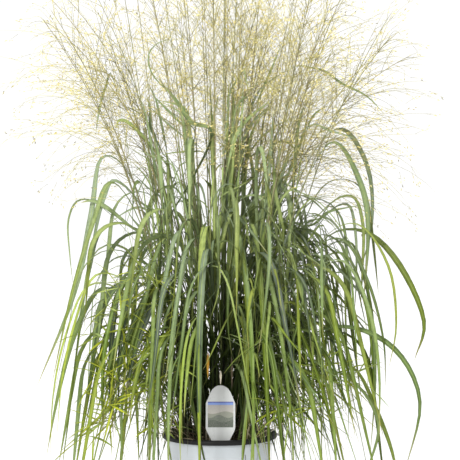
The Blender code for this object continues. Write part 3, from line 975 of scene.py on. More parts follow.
def keptInside(lines):
    return ((lines > allowedLow) & (lines < allowedHigh)).all(axis=(1, 2))


def sidewaysFrom(ahead, rng):
    loose = rng.normal(size=ahead.shape)
    return unit(loose - ahead * (loose * ahead).sum(-1, keepdims=True))


def growFrom(starts, ahead, lengths, sag, steps):
    # curves that set off along ahead and give way downwards
    share = (np.arange(steps) + 0.5) / steps
    way = unit(ahead[:, None] - upward * (sag[:, None] * share**1.4)[..., None])
    line = starts[:, None] + np.cumsum(way, axis=1) * (lengths / steps)[:, None, None]
    return np.concatenate((starts[:, None], line), axis=1)


def offshoots(rng, lines, gap, fromShare, lengths, angles, sags, steps, taper=0.6):
    # smaller curves that leave a set of curves at even gaps
    reach = np.linalg.norm(np.diff(lines, axis=1), axis=-1).sum(axis=1)
    counts = np.maximum(1, np.ceil(reach * (1 - fromShare) / gap)).astype(int)
    parent = np.repeat(np.arange(len(lines)), counts)
    order = np.concatenate([np.arange(c) for c in counts])
    share = fromShare + (1 - fromShare) * (order + rng.random(len(order))) / counts[parent]
    place = np.minimum(share, 0.999) * (lines.shape[1] - 1)
    low = place.astype(int)
    part = (place - low)[:, None]
    starts = lines[parent, low] * (1 - part) + lines[parent, low + 1] * part
    ahead = unit(lines[parent, low + 1] - lines[parent, low])
    angle = np.radians(rng.uniform(*angles, len(order)))[:, None]
    way = ahead * np.cos(angle) + sidewaysFrom(ahead, rng) * np.sin(angle)
    size = rng.uniform(*lengths, len(order)) * (1 - taper * share)
    made = growFrom(starts, way, size, rng.uniform(*sags, len(order)), steps)
    return made[keptInside(made)]


def addSpikelets(heap, rng, tips, ahead, tone):
    # a small pointed grain at the end of each stalk
    count = len(tips)
    length = rng.uniform(*panicle["spikeletLength"], count)[:, None]
    beside = sidewaysFrom(ahead, rng)
    above = np.cross(ahead, beside)
    middle = tips + ahead * length * panicle["spikeletMiddle"]
    half = panicle["spikeletHalfWidth"] * rng.uniform(*panicle["spikeletPlump"], count)[:, None]
    ring = [middle + half * (beside * math.cos(a) + above * math.sin(a)) for a in panicle["spikeletCorners"]]
    points = np.stack(ring + [tips + ahead * length, tips], axis=1)
    faces = np.array([(0, 1, 3), (1, 2, 3), (2, 0, 3), (1, 0, 4), (2, 1, 4), (0, 2, 4)])
    shade = np.clip(rng.normal(tone, panicle["toneSpread"], count), *panicle["toneLimits"])[:, None]
    addShells(heap, points, faces, spikeletSlot, shade, np.array((0.4, 0.4, 0.4, 1.0, 0.0)), 0.0)


def whorlBranches(rng, plan, size):
    # where each first-order branch starts, which way it goes and how long it is
    for order, (share, count, length, widest) in enumerate(panicle["whorls"]):
        if order < panicle["lowWhorls"] and plan["kept"] < panicle["bareLow"]:
            continue
        if order < panicle["lowestWhorls"]:
            count += plan["moreLow"]
        elif order >= panicle["highWhorls"]:
            count = max(1, count + plan["moreHigh"])
        count = round(count * max(1.0, panicle["fullerCount"] * plan["kept"]))
        place, after = culmPlaces(plan, (share, share + 0.01))
        ahead = unit(after - place)
        turn = rng.uniform(0, 2 * math.pi)
        beside = unit(np.cross(ahead, (0.3, 0.8, 0.1)))
        above = np.cross(ahead, beside)
        for i in range(count):
            if rng.random() > plan["kept"]:
                continue
            angle = math.radians(rng.uniform(panicle["narrowest"], widest))
            around = turn + i * 2 * math.pi / count + rng.uniform(*panicle["fan"])
            side = beside * math.cos(around) + above * math.sin(around)
            start = place + ahead * rng.uniform(*panicle["shift"])
            way = ahead * math.cos(angle) + side * math.sin(angle)
            yield start, way, length * size * rng.uniform(*panicle["lengthSpread"])
    for tiller, share, azimuth, angle, length in panicle["trails"]:
        if tiller == plan["index"]:
            angle = math.radians(angle)
            way = outward(math.radians(azimuth)) * math.sin(angle) + upward * math.cos(angle)
            yield culmPlaces(plan, (share,))[0], way, length


def addThreads(heap, rng, lines, radius, tipShare, shades):
    # three-sided tubes that get thinner to their tips, each in a shade of its own
    radii = np.tile(radius * np.linspace(1.0, tipShare, lines.shape[1]), (len(lines), 1))
    addTubes(heap, lines, radii, 3, branchSlot, rng.uniform(*shades, (len(lines), 1)))


def addPanicle(heap, rng, plan, given, size):
    # first-order branches in whorls, then twigs, stalks and spikelets
    starts, ways, lengths = map(np.array, zip(*whorlBranches(rng, plan, size)))
    sags = rng.uniform(*panicle["sag"], len(starts)) * plan["sag"]
    for _ in range(panicle["tries"]):
        branches = growFrom(starts, ways, lengths, sags, 7)
        inside = keptInside(branches)
        lengths = np.where(inside, lengths, lengths * panicle["shortening"])
    branches = np.concatenate((branches[inside], given))
    addThreads(heap, rng, branches, panicle["branchRadius"], 0.4, (-0.2, 0.6))
    gaps = panicle["twigGap"] / plan["density"] * rng.uniform(*panicle["clumping"], len(branches))
    twigs = offshoots(rng, branches, gaps, **panicle["twigs"])
    addThreads(heap, rng, twigs, panicle["twigRadius"], 0.5, (0.0, 1.0))
    stalks = offshoots(rng, twigs, panicle["stalkGap"], **panicle["stalks"])
    addThreads(heap, rng, stalks, panicle["stalkRadius"], 1.0, (0.1, 1.0))
    tips = np.concatenate((stalks[:, -1], twigs[:, -1]))
    ahead = unit(np.concatenate((stalks[:, -1] - stalks[:, -2], twigs[:, -1] - twigs[:, -2])))
    addSpikelets(heap, rng, tips, ahead, plan["tone"])


def solidBranches(plan):
    # the branches that the solid has, on the same curves
    found, shares = [], np.linspace(0, 1, 8)
    draw = plan["draw"]
    for whorl, sides in zip(heads["whorls"], plan["branchSides"]):
        step = 0.003 / plan["length"]
        start = culmPlaces(plan, (whorl + step,))[0]
        lean = culmTilt(plan, whorl + 2 * step)
        for side in sides:
            azimuth = plan["azimuth"]
            length = draw.uniform(*heads["length"])
            if side == outerSide:
                rise = lean + math.radians(draw.uniform(*heads["outerRise"]))
                fall = rise + math.radians(draw.uniform(*heads["outerNod"]))
            else:
                azimuth += math.pi
                rise = math.radians(draw.uniform(*heads["innerRise"])) - lean / 2
                fall = rise + math.radians(heads["innerNod"])
                room = math.hypot(start[0], start[1]) - clump["coreRadius"]
                length = min(length, room / math.sin(between(rise, fall, 0.5)))
            found.append(bendAlong(
                start, azimuth, length, lambda s: between(rise, fall, s ** heads["bend"]), shares,
            ))
    return np.array(found).reshape(-1, len(shares), 3)


# the foot of a blade wraps the culm: stations down from the blade's start, how far it stands off
# there, and the lowest blade that has one
sheaths = {
    "drops": (0.09, 0.06, 0.02, 0.0, -0.003),
    "standOff": (0.0002, 0.0006, 0.0007, 0.0009, 0.0),
    "lowest": 0.10,
}


def shareBelow(plan, height):
    # how much of the culm lies below a height on it
    return (height - plan["foot"][2]) / plan["length"]


def culmRadius(radius, share):
    return between(radius, culms["tipRadius"], share ** culms["taper"])


def addCulm(heap, plan, radius, shade):
    # a tube with a swollen joint below each blade
    shares, half = set(np.linspace(0, 1, culms["stations"])), culms["jointHalf"]
    joints = [shareBelow(plan, blade["height"]) - culms["jointDrop"] for blade in plan["blades"]]
    joints = [joint for joint in joints if joint > culms["lowestJoint"]]
    for joint in joints:
        shares |= {joint - half, joint, joint + half}
    shares = np.array(sorted(shares))
    thick = culmRadius(radius, shares)
    for joint in joints:
        thick = thick * np.where(np.abs(shares - joint) < half / 2, culms["jointSwell"], 1.0)
    addTubes(heap, culmPlaces(plan, shares)[None], thick[None], 6, stemSlot, shade)


def addSheath(heap, plan, height, radius, shade):
    top = shareBelow(plan, height)
    if top >= sheaths["lowest"]:
        line = culmPlaces(plan, np.clip(top - np.array(sheaths["drops"]), 0.001, 1))
        thick = culmRadius(radius, top) + np.array(sheaths["standOff"])
        addTubes(heap, line[None], thick[None], 6, leafSlot, shade)


def bladeProfile(share, widest):
    opening = between(blades["footWidth"], 1.0, easeInOut(share / widest))
    return opening * (1 - np.maximum(0.0, (share - widest) / (1 - widest)) ** blades["taper"])


def addBlades(heap, lines, azimuths, halfWidths, widest, rolls, shades, slot=leafSlot):
    # each blade is a thin folded strip: left edge, groove, right edge, keel
    count, stations, _ = lines.shape
    share = np.linspace(0, 1, stations)
    ahead = unit(np.gradient(lines, axis=1))
    left = np.stack((-np.sin(azimuths), np.cos(azimuths), np.zeros(count)), axis=-1)[:, None]
    left = unit(left - ahead * (left * ahead).sum(-1, keepdims=True))
    above = np.cross(ahead, left)
    turned = easeInOut(share[None] * blades["twistPace"] - blades["twistWait"])
    turn = between(rolls[:, :1], rolls[:, 1:], turned)[..., None]
    left, above = left * np.cos(turn) + above * np.sin(turn), above * np.cos(turn) - left * np.sin(turn)
    half = (halfWidths[:, None] * bladeProfile(share, widest[:, None]))[..., None]
    fold = above * (half * blades["fold"] * between(1.0, blades["tipFold"], share)[:, None])
    keel = above * (blades["thickness"] * between(1.0, blades["tipThickness"], share)[:, None])
    rings = np.stack((lines + left * half + fold, lines, lines - left * half + fold, lines - keel), axis=2)
    points = np.concatenate((rings[:, :-1].reshape(count, -1, 3), lines[:, -1:]), axis=1)
    along = np.append(np.repeat(share[:-1], 4), 1.0)
    across = np.append(np.tile((-1.0, 0.0, 1.0, 0.0), stations - 1), 0.0)
    addShells(heap, points, shellFaces(stations, 4), slot, shades[:, None], along, across)


frontEye = (0.021, -2.6, 0.629)   # where the camera stands

# the tag's face stays clear of blades, as seen from the front
tagWindow = {"x": (-0.029, 0.034), "z": (0.20, 0.331), "y": -0.086, "inFront": -0.07}
# gaps between the blades, seen from the front: x from and to, z from and to, share of blades that stay
gaps = (
    (-0.055, 0.008, 0.74, 0.90, 0.15),
    (-0.330, -0.255, 0.30, 0.40, 0.40),
    (-0.300, -0.255, 0.58, 0.68, 0.40),
)


def seenThrough(line, window, plane):
    # which points fall inside a window in an upright plane, seen from the front
    pull = (plane - frontEye[1]) / (line[:, 1] - frontEye[1])
    x = frontEye[0] + (line[:, 0] - frontEye[0]) * pull
    z = frontEye[2] + (line[:, 2] - frontEye[2]) * pull
    return (x > window[0]) & (x < window[1]) & (z > window[2]) & (z < window[3])


def hidesTag(line):
    inside = seenThrough(line, tagWindow["x"] + tagWindow["z"], tagWindow["y"])
    return bool(((line[:, 1] < tagWindow["inFront"]) & inside).any())


def fillsGap(line, draw):
    return any(seenThrough(line, gap, 0.0).any() and draw.random() > gap[4] for gap in gaps)


def spreadsTooFar(line, room):
    heights, radii = zip(*extras["spread"])
    reach = np.hypot(line[:, 0], line[:, 1])
    return bool((reach > room * np.interp(line[:, 2], heights, radii)).any())


def extraBlade(draw, kind):
    blade = drawnBlade(draw, *kind[2:])
    blade["yaw"] = draw.uniform(-extras["fan"], extras["fan"])
    if draw.random() < extras["kinked"]:
        blade["ease"] = extras["kinkEase"]
    return blade


# blades placed by the photograph: tiller, height on its culm, azimuth in degrees, half width, shade,
# (radius, height) places; lengths are in millimetres
standouts = (
    (17, 460, 180, 5, 0.35, ((150, 660), (207, 727), (232, 690), (249, 620), (270, 500))),
    (18, 500, 183, 4.5, 0.55, ((130, 600), (175, 633), (222, 672), (252, 688), (276, 683))),
    (16, 480, 178, 2.4, 0.7, ((220, 660), (280, 690), (305, 650), (303, 580), (295, 507))),
    (19, 550, 195, 6.6, 0.86, ((100, 720), (145, 795), (185, 835), (207, 842), (212, 828))),
    (20, 600, 185, 8.2, 0.26, ((25, 800), (61, 839), (92, 885), (128, 925))),
    (20, 600, 185, 1.5, 0.2, (
        (25, 800), (61, 839), (92, 885), (135, 930), (143, 968), (118, 993), (75, 999),
    )),
    (19, 520, 200, 4, 0.15, ((105, 740), (121, 780), (145, 825), (148, 864), (157, 894))),
    (20, 580, 190, 3.4, 0.12, ((60, 800), (89, 839), (120, 871), (144, 896))),
    (19, 500, 197, 3.4, 0.62, ((90, 700), (118, 745), (145, 790), (150, 797))),
    (20, 400, 214, 5, -0.02, ((120, 530), (159, 514), (193, 463), (227, 393), (250, 310))),
    (20, 380, 217, 4.6, 0.06, ((120, 515), (155, 500), (186, 452), (219, 380), (244, 290))),
    (21, 420, 219, 5, 0.14, ((110, 545), (150, 532), (188, 478), (222, 405), (243, 320))),
    (21, 400, 222, 4.4, 0.03, ((110, 530), (148, 515), (180, 462), (214, 385), (236, 290))),
    (21, 380, 224, 4.2, 0.22, ((100, 500), (142, 490), (172, 440), (205, 362), (228, 270))),
    (22, 360, 228, 4.6, 0.47, ((100, 420), (161, 422), (220, 396), (250, 335), (262, 250))),
    (19, 420, 193, 3.4, 0.97, ((180, 520), (250, 540), (290, 450), (315, 340), (325, 220))),
    (18, 400, 187, 3, 0.9, ((180, 500), (260, 520), (305, 420), (330, 300), (335, 160))),
    (28, 420, 230, 3.4, 0.47, ((0, 500), (10, 470), (30, 410), (70, 372), (115, 325))),
    (20, 460, 212, 4.4, 0.1, ((100, 580), (135, 560), (164, 478), (200, 380), (215, 290))),
    (21, 460, 222, 4, 0.26, ((100, 600), (150, 600), (189, 480), (215, 380), (225, 260))),
    (15, 660, 176, 2.8, 0.75, ((220, 930), (238, 920), (251, 870), (257, 820))),
    (33, 500, 358, 3.6, 0.4, ((150, 620), (189, 640), (215, 664), (245, 673), (297, 681))),
    (1, 680, 4, 2.6, 0.55, ((130, 930), (197, 955), (250, 925), (300, 900), (340, 860))),
    (32, 660, 355, 2.6, 0.5, ((170, 823), (227, 822), (285, 803))),
    (31, 260, 350, 4, 0.5, ((200, 350), (277, 325), (317, 250), (300, 170), (285, 120))),
    (1, 250, 2, 4.5, 0.6, ((200, 350), (270, 350), (315, 270), (350, 180), (360, 110))),
    (27, 500, 288, 6.2, 0.37, ((78, 620), (82, 740), (85, 840), (88, 930))),
    (23, 500, 240, 5, 0.56, ((120, 620), (116, 730), (116, 800), (132, 785), (138, 700), (140, 630))),
    (29, 500, 308, 5.6, 0.52, ((122, 620), (120, 720), (124, 787), (138, 772), (150, 700), (158, 620))),
    (26, 460, 250, 5, 0.45, ((85, 580), (80, 700), (78, 800))),
    # the next four nearly black blades stand in for painted shade inside the clump, at the front right
    (30, 440, 318, 4.4, 0.02, ((80, 500), (125, 550), (150, 500), (165, 400), (172, 270))),
    (31, 420, 326, 4, -0.05, ((80, 480), (120, 530), (145, 470), (158, 370), (165, 250))),
    (29, 420, 312, 4.2, 0.08, ((90, 500), (130, 540), (158, 460), (172, 350), (178, 220))),
    (32, 420, 333, 3.8, 0.12, ((80, 500), (125, 550), (150, 480), (160, 380), (165, 260))),
    (30, 520, 318, 4.8, 0.35, ((140, 640), (145, 740), (160, 830))),
    (21, 500, 222, 5.2, 0.3, ((130, 620), (150, 720), (200, 810))),
    (33, 500, 356, 4.4, 0.45, ((200, 660), (262, 695), (285, 640), (284, 550), (280, 470))),
    (0, 480, 2, 3.6, 0.66, ((200, 640), (255, 680), (272, 620), (273, 530), (268, 450))),
    (1, 440, 6, 3.4, 0.3, ((200, 580), (270, 600), (305, 500), (315, 400), (300, 300))),
    (33, 420, 350, 4, 0.3, ((180, 550), (250, 580), (290, 490), (305, 380), (310, 250))),
    (0, 400, 358, 4, 0.5, ((190, 520), (260, 540), (300, 450), (310, 330), (300, 180))),
    (32, 460, 346, 3.6, 0.12, ((180, 580), (250, 610), (300, 530), (330, 420), (335, 320))),
    (2, 460, 12, 3.4, 0.36, ((200, 580), (270, 600), (310, 520), (325, 420), (315, 300))),
    (31, 440, 338, 3.8, 0.58, ((180, 540), (260, 570), (310, 480), (330, 360), (330, 220))),
    (32, 440, 344, 2.8, 0.8, ((200, 600), (280, 640), (340, 560), (355, 450), (340, 360))),
    (22, 500, 234, 4.6, 0.35, ((90, 600), (140, 620), (190, 500), (230, 340), (240, 120))),
    (23, 460, 243, 4.6, 0.5, ((90, 550), (140, 570), (190, 460), (220, 300), (230, 100))),
    (19, 440, 203, 4, 0.14, ((140, 540), (200, 520), (235, 420), (246, 330), (244, 240))),
    (20, 420, 207, 4.6, 0.08, ((140, 500), (200, 480), (228, 400), (236, 320), (232, 250))),
    (20, 460, 209, 3.6, 0.22, ((150, 550), (210, 530), (248, 420), (256, 320), (252, 230))),
    (19, 460, 205, 5, -0.05, ((140, 550), (200, 540), (225, 440), (232, 340), (226, 220))),
    (20, 440, 204, 4.4, 0.02, ((130, 520), (190, 510), (215, 420), (222, 330), (220, 240))),
    (24, 520, 259, 6.2, 0.87, ((80, 620), (140, 620), (190, 480), (220, 300), (230, 90))),
    (26, 440, 283, 3.6, 0.55, ((80, 520), (130, 520), (180, 400), (205, 260), (210, 110))),
    (27, 500, 288, 4.4, 0.4, ((80, 600), (140, 610), (190, 460), (215, 300), (220, 100))),
    (27, 400, 292, 3.4, 0.7, ((90, 480), (140, 470), (190, 360), (205, 240), (200, 120))),
    (28, 520, 296, 5, 0.28, ((100, 620), (150, 630), (190, 480), (210, 320), (220, 100))),
    (29, 460, 302, 4.4, 0.48, ((100, 550), (150, 560), (200, 440), (230, 280), (240, 100))),
)

# shades of the solids' own blades that the photograph settles, by tiller and blade
# the one blade here is made almost black: a dark blade standing in for painted shade inside the clump
paintedShadeBlades = {(28, 1): 0.02}

# dead leaves over the tag: tiller, azimuth, half width, shade, start, places
deadLeaves = (
    (22, 215, 0.0022, 0.95, (-0.142, -0.100, 0.385), ((0.190, 0.378), (0.206, 0.354), (0.210, 0.330))),
    (21, 212, 0.0018, 0.80, (-0.150, -0.110, 0.372), ((0.200, 0.362), (0.214, 0.340), (0.218, 0.318))),
    (25, 268, 0.0026, 0.04, (-0.021, -0.090, 0.392), ((0.100, 0.385), (0.106, 0.365), (0.108, 0.344))),
    (26, 270, 0.0022, 1.00, (0.003, -0.098, 0.358), ((0.102, 0.354), (0.106, 0.346), (0.108, 0.332))),
    (28, 275, 0.0022, 0.34, (0.024, -0.080, 0.385), ((0.086, 0.37), (0.090, 0.35), (0.088, 0.32))),
)


def faceOn(azimuth):
    # the rolls that turn a blade's flat side to the front by its tip
    turn = azimuth % math.pi - math.pi / 2
    return tuple(share * turn for share in extras["faceOn"])


def growBlades(plan, draw, heap, radius):
    # every blade of one culm, with its sheath
    grown = []
    for blade in plan["blades"]:
        solid = blade.get("solid", False)
        share = shareBelow(plan, blade["height"])
        start = culmPlaces(plan, (share,))[0]
        azimuth = blade.get("azimuth", plan["azimuth"] + blade["yaw"])
        lean = culmTilt(plan, share) * math.cos(azimuth - plan["azimuth"])
        sway = draw.uniform(-1, 1) * extras["sway"] * (extras["solidSway"] if solid else 1.0)
        atLeft = math.cos(azimuth) < -extras["sideFrom"]
        room = draw.uniform(*extras["spreadRoom"]) * (extras["leftRoom"] if atLeft else 1.0)
        wobble = draw.uniform(*extras["wobble"]) * (extras["solidWobble"] if solid else 1.0)
        slant, pace = draw.uniform(0, math.pi), draw.uniform(*extras["pace"])
        left = np.array((-math.sin(azimuth), math.cos(azimuth), 0.0))
        wobbleWay = left * math.cos(slant) + upward * math.sin(slant)
        for _ in range(extras["tries"]):
            line = bladeLine(blade, start, azimuth, lean)
            shares = np.linspace(0, 1, len(line))[:, None]
            line = line + left * (sway * blade.get("length", 0.5) * shares**2)
            swing = np.sin(pace * shares + start[0] * extras["paceShift"])
            line = line + wobbleWay * (wobble * shares * swing)
            tooFar = not solid and spreadsTooFar(line, room)
            if not tooFar:
                break
            blade["length"] *= extras["shortening"]
        roll = blade.get("roll") or (draw.uniform(*extras["footRoll"]), draw.uniform(*extras["tipRoll"]))
        # a random shade, made lighter on the left and darker on the right as painted light
        shade = extras["palest"] * draw.random() - extras["paintedSunSide"] * math.cos(azimuth)
        if tooFar or hidesTag(line) or not keptInside(line[None])[0]:
            continue
        broad = blade["halfWidth"] > extras["broad"]
        widest = extras["broadWidest"] if broad else draw.uniform(*extras["widest"])
        if not solid and fillsGap(line, plan["gapDraw"]):
            continue
        shade = blade.get("shade", shade)
        grown.append((line, azimuth, blade["halfWidth"], widest, roll, shade))
        addSheath(heap, plan, blade["height"], radius, shade)
    if grown:
        addBlades(heap, *map(np.array, zip(*grown)))


straws = {
    "around": 0.010,
    "tilt": (4, 70),
    "fan": (-1.2, 1.2),
    "roll": (-1.5, 1.5),
    "widest": 0.4,
    "deepest": 0.002,
    # dead straws, then fine threads: how many, length, sag, half width, darkest shade
    "kinds": (
        (7, (0.035, 0.12), (0.0, 0.9), (0.0008, 0.0024), 0.28),
        (6, (0.020, 0.07), (0.8, 2.4), (0.0003, 0.0006), 0.7),
    ),
}


def addStraws(heap, plan, rng, count, lengths, sags, halfWidths, darkest):
    # dead sheaths, broken straws and fine roots round the foot of the tiller
    around = straws["around"]
    beside = [rng.uniform(-around, around, count), rng.uniform(-around, around, count), np.zeros(count)]
    tilt = np.radians(rng.uniform(*straws["tilt"], count))
    azimuth = plan["azimuth"] + rng.uniform(*straws["fan"], count)
    ahead = np.stack((np.sin(tilt) * np.cos(azimuth), np.sin(tilt) * np.sin(azimuth), np.cos(tilt)), axis=-1)
    starts = plan["foot"] + np.stack(beside, axis=-1)
    lines = growFrom(starts, ahead, rng.uniform(*lengths, count), rng.uniform(*sags, count), 6)
    deepest = soil["level"] - straws["deepest"]
    kept = [not hidesTag(line) and line[:, 2].min() > deepest for line in lines]
    lines, azimuth = lines[kept], azimuth[kept]
    count = len(lines)
    if count:
        halves = rng.uniform(*halfWidths, count)
        rolls = rng.uniform(*straws["roll"], (count, 2))
        shades = rng.uniform(darkest, 1.0, count)
        addBlades(heap, lines, azimuth, halves, np.full(count, straws["widest"]), rolls, shades, strawSlot)


# small leafy side shoots low on the clump; their places are tiller, shade, tip
sprays = {
    "blades": 18,
    "lengths": (0.035, 0.110),
    "halfWidths": (0.0013, 0.0026),
    "sags": (0.0, 0.9),
    "fan": (1.0, 0.5, 1.0),
    "ahead": 0.5,
    "roll": (-1.2, 1.2),
    "widest": 0.4,
    "shadeSpread": 0.15,
    # the stem rises over the straight line to its place, and has blades from this station on
    "rise": 0.05,
    "stem": 0.0010,
    "stations": 14,
    "fromStation": 9,
    "places": (
        (21, 0.95, (-0.15, -0.165, 0.322)), (20, 0.98, (-0.222, -0.125, 0.262)),
        (19, 0.92, (-0.24, -0.08, 0.345)), (22, 0.8, (-0.12, -0.165, 0.262)),
        (30, 0.6, (0.15, -0.15, 0.3)), (31, 0.92, (0.225, -0.11, 0.262)), (33, 0.8, (0.25, -0.05, 0.33)),
        (20, 0.98, (-0.2, -0.13, 0.53)), (21, 0.93, (-0.165, -0.15, 0.55)),
        (20, 0.96, (-0.215, -0.12, 0.48)), (21, 0.98, (-0.13, -0.175, 0.545)),
        (22, 0.95, (-0.13, -0.18, 0.43)), (21, 0.97, (-0.15, -0.175, 0.395)),
        (20, 0.97, (-0.19, -0.15, 0.345)), (19, 0.98, (-0.255, -0.11, 0.235)),
        (20, 0.99, (-0.205, -0.155, 0.3)), (19, 0.96, (-0.245, -0.1, 0.43)),
        (32, 0.92, (0.265, -0.1, 0.345)), (31, 0.86, (0.19, -0.16, 0.37)), (30, 0.8, (0.13, -0.19, 0.28)),
        (29, 0.72, (0.07, -0.205, 0.42)),
    ),
}


def addSprays(heap, plan, rng):
    count, stations = sprays["blades"], sprays["stations"]
    share = np.linspace(0, 1, stations)[:, None]
    arch = upward * (4 * sprays["rise"] * share * (1 - share))
    for tiller, shade, place in sprays["places"]:
        if tiller != plan["index"]:
            continue
        stem = plan["foot"] * (1 - share) + np.array(place) * share + arch
        radii = np.linspace(sprays["stem"], sprays["stem"] / 2, stations)
        addTubes(heap, stem[None], radii[None], 5, stemSlot, 0.5)
        starts = stem[rng.integers(sprays["fromStation"], stations, count)]
        ahead = rng.normal(size=(count, 3)) * sprays["fan"] + unit(stem[-1] - stem[0]) * sprays["ahead"]
        ahead = unit(ahead)
        lengths, sags = rng.uniform(*sprays["lengths"], count), rng.uniform(*sprays["sags"], count)
        lines = growFrom(starts, ahead, lengths, sags, 9)
        azimuths = np.arctan2(ahead[:, 1], ahead[:, 0])
        shades = np.clip(rng.normal(shade, sprays["shadeSpread"], count), 0, 1)
        halves = rng.uniform(*sprays["halfWidths"], count)
        rolls = rng.uniform(*sprays["roll"], (count, 2))
        addBlades(heap, lines, azimuths, halves, np.full(count, sprays["widest"]), rolls, shades)


def addDeadLeaves(heap, index):
    for tiller, azimuth, halfWidth, shade, start, knots in deadLeaves:
        if tiller == index:
            azimuth = math.radians(azimuth)
            line = throughKnots(np.array(start), azimuth, knots, np.linspace(0, 1, 14))
            single = (np.array([given]) for given in (azimuth, halfWidth, 0.5, faceOn(azimuth), shade))
            addBlades(heap, line[None], *single, strawSlot)


def setFullness(plan):
    # how full a head is follows from where it stands across the clump
    fullness = np.interp(culmPlaces(plan, (0.8,))[0][0], *zip(*panicle["fullness"]))
    plan["density"] = plan["crowding"] * fullness
    plan["kept"] = fullness + panicle["keptMore"]


def setHabit(plan, index):
    # the tone, crowding and sag of a tiller's flower heads, by where it stands
    plan["index"] = index
    plan["inner"] = inner = index >= clump["around"]
    plan["facing"] = facing = math.cos(plan["azimuth"])
    plan["toSide"] = toSide = 0.0 if inner else abs(facing)
    out = (plan["base"] - panicle["innerEdge"]) / panicle["edgeToEdge"]
    plan["tone"] = panicle["centreTone"] if inner else between(*panicle["tones"], out)
    plan["crowding"] = panicle["centreCrowding"] if inner else between(*panicle["crowdings"], out)
    plan["sag"] = between(1.0, panicle["sideSag"], toSide)
    plan["moreLow"] = panicle["rightLowWhorls"] if facing > panicle["farSide"] else 0
    plan["moreHigh"] = panicle["sideHighWhorls"] if toSide > panicle["farSide"] else 0
    plan["gapDraw"] = random.Random(clump["gapSeed"] + index)
    setFullness(plan)


def shadeSolidBlades(plan, draw):
    for order, blade in enumerate(plan["blades"]):
        shade = between(*extras["solidShades"], draw.random())
        blade["solid"] = True
        blade["shade"] = paintedShadeBlades.get((plan["index"], order), shade)
        if "knots" in blade:
            blade["shade"] = between(*extras["markedShades"], draw.random())
            blade["roll"] = faceOn(plan["azimuth"] + blade["yaw"])


def kindCounts(plan):
    # how many further blades of each kind the tiller has, by the side it stands on
    side = None
    if plan["inner"]:
        side = "centreMore"
    elif plan["toSide"] > extras["sideFrom"]:
        side = "rightMore" if plan["facing"] > 0 else "leftMore"
    more = extras.get(side, {})
    return [(kind, kind[1] + more.get(kind[0], 0)) for kind in extras["kinds"]]


def standoutBlades(index):
    for tiller, height, azimuth, halfWidth, shade, knots in standouts:
        if tiller == index:
            azimuth = math.radians(azimuth)
            yield {
                "height": height / 1000,
                "azimuth": azimuth,
                "halfWidth": halfWidth / 1000,
                "shade": shade,
                "knots": [(radius / 1000, z / 1000) for radius, z in knots],
                "roll": faceOn(azimuth),
                "yaw": 0.0,
                "solid": True,
            }


def secondPlan(plan, draw):
    # a thinner culm beside the first, which leans and reaches its own way
    second = dict(plan)
    turn = draw.uniform(-1, 1) * secondCulms["turn"]
    second["azimuth"] = 2 * turn if plan["inner"] else plan["azimuth"] + turn
    away = draw.uniform(0, 2 * math.pi)
    second["foot"] = plan["foot"] + outward(away) * draw.uniform(*secondCulms["offset"])
    atSide = plan["toSide"] > 0.5
    second["length"] = plan["length"] * draw.uniform(*secondCulms["sideLength" if atSide else "length"])
    lean = draw.uniform(*secondCulms["sideTopLean" if atSide else "topLean"])
    extraLean = secondCulms["centreExtraLean" if plan["inner"] else "extraLean"]
    second["topLean"] = plan["topLean"] * lean + extraLean
    low, high = secondCulms["crowded"]
    second["crowded"] = low < culmPlaces(second, (0.7,))[0][0] < high
    if second["crowded"]:
        second["length"] *= secondCulms["shootLength"]
    while culmPlaces(second, (1.0,))[0][2] > secondCulms["highest"]:
        second["length"] *= secondCulms["lowering"]
    setFullness(second)
    return second


def growTiller(index):
    plan = tillerPlan(index)
    draw = random.Random(clump["bladeSeed"] + index)
    rng = np.random.default_rng(clump["headSeed"] + index)
    setHabit(plan, index)
    shadeSolidBlades(plan, draw)
    given = solidBranches(plan)
    counts = kindCounts(plan)
    for kind, count in counts:
        plan["blades"] += [extraBlade(draw, kind) for _ in range(count)]
    plan["blades"] += standoutBlades(index)
    heap = newHeap()
    addCulm(heap, plan, culms["radius"], draw.random())
    growBlades(plan, draw, heap, culms["radius"])
    size = panicle["inner"] if plan["inner"] else 1.0
    addPanicle(heap, rng, plan, given, size)

    second = secondPlan(plan, draw)
    second["blades"] = [extraBlade(draw, kind) for kind, count in counts if count > 0]
    addCulm(heap, second, secondCulms["radius"], draw.random())
    growBlades(second, draw, heap, secondCulms["radius"])
    if draw.random() < panicle["secondFlowers"] and not second["crowded"]:
        addPanicle(heap, rng, second, given[:0], size * panicle["second"])
    for kind in straws["kinds"]:
        addStraws(heap, plan, rng, *kind)
    addDeadLeaves(heap, index)
    addSprays(heap, plan, rng)
    mesh = heapMesh(f"grassTiller{index + 1:02d}", heap, 50)
    addPiece(f"grassTiller{index + 1:02d}", mesh, tillerFinishes, "grass", f"tiller_{index + 1:02d}")
    return len(mesh.polygons)


total = sum(growTiller(index) for index in range(clump["around"] + clump["centre"]))
print("tillers grown:", total, "faces")


# potting mix
soilLooks = {
    "seed": 77,
    "rings": 26,
    "turnSteps": 96,
    "lumps": 0.0022,
    "sink": 0.001,
    # the mix is calmer towards its edge, and its side leans in to the pot's floor
    "calmEdge": 0.012,
    "calmShare": 0.3,
    "sideRows": (0.0, 0.33, 0.66, 1.0),
    "sideDrop": 0.002,
    "sideGap": 0.0015,
    "darkest": (0.006, 0.0045, 0.0035),
    "lightest": (0.075, 0.050, 0.032),
    "grains": 260.0,
    "patches": 38.0,
    "grainShare": 0.7,
    "patchShare": 0.3,
    "grainDepth": 0.0012,
    "roughness": (0.75, 1.0),
    "gloss": 0.15,
}

barkChips = {
    "count": 420,
    "reach": 0.95,
    "size": (0.0018, 0.0060),
    "width": (0.4, 0.9),
    "thickness": (0.25, 0.6),
    "spin": 6.28,
    "tilt": 0.6,
    "lift": (-0.0008, 0.0012),
    "lumps": 0.09,
    "paler": 0.35,
}


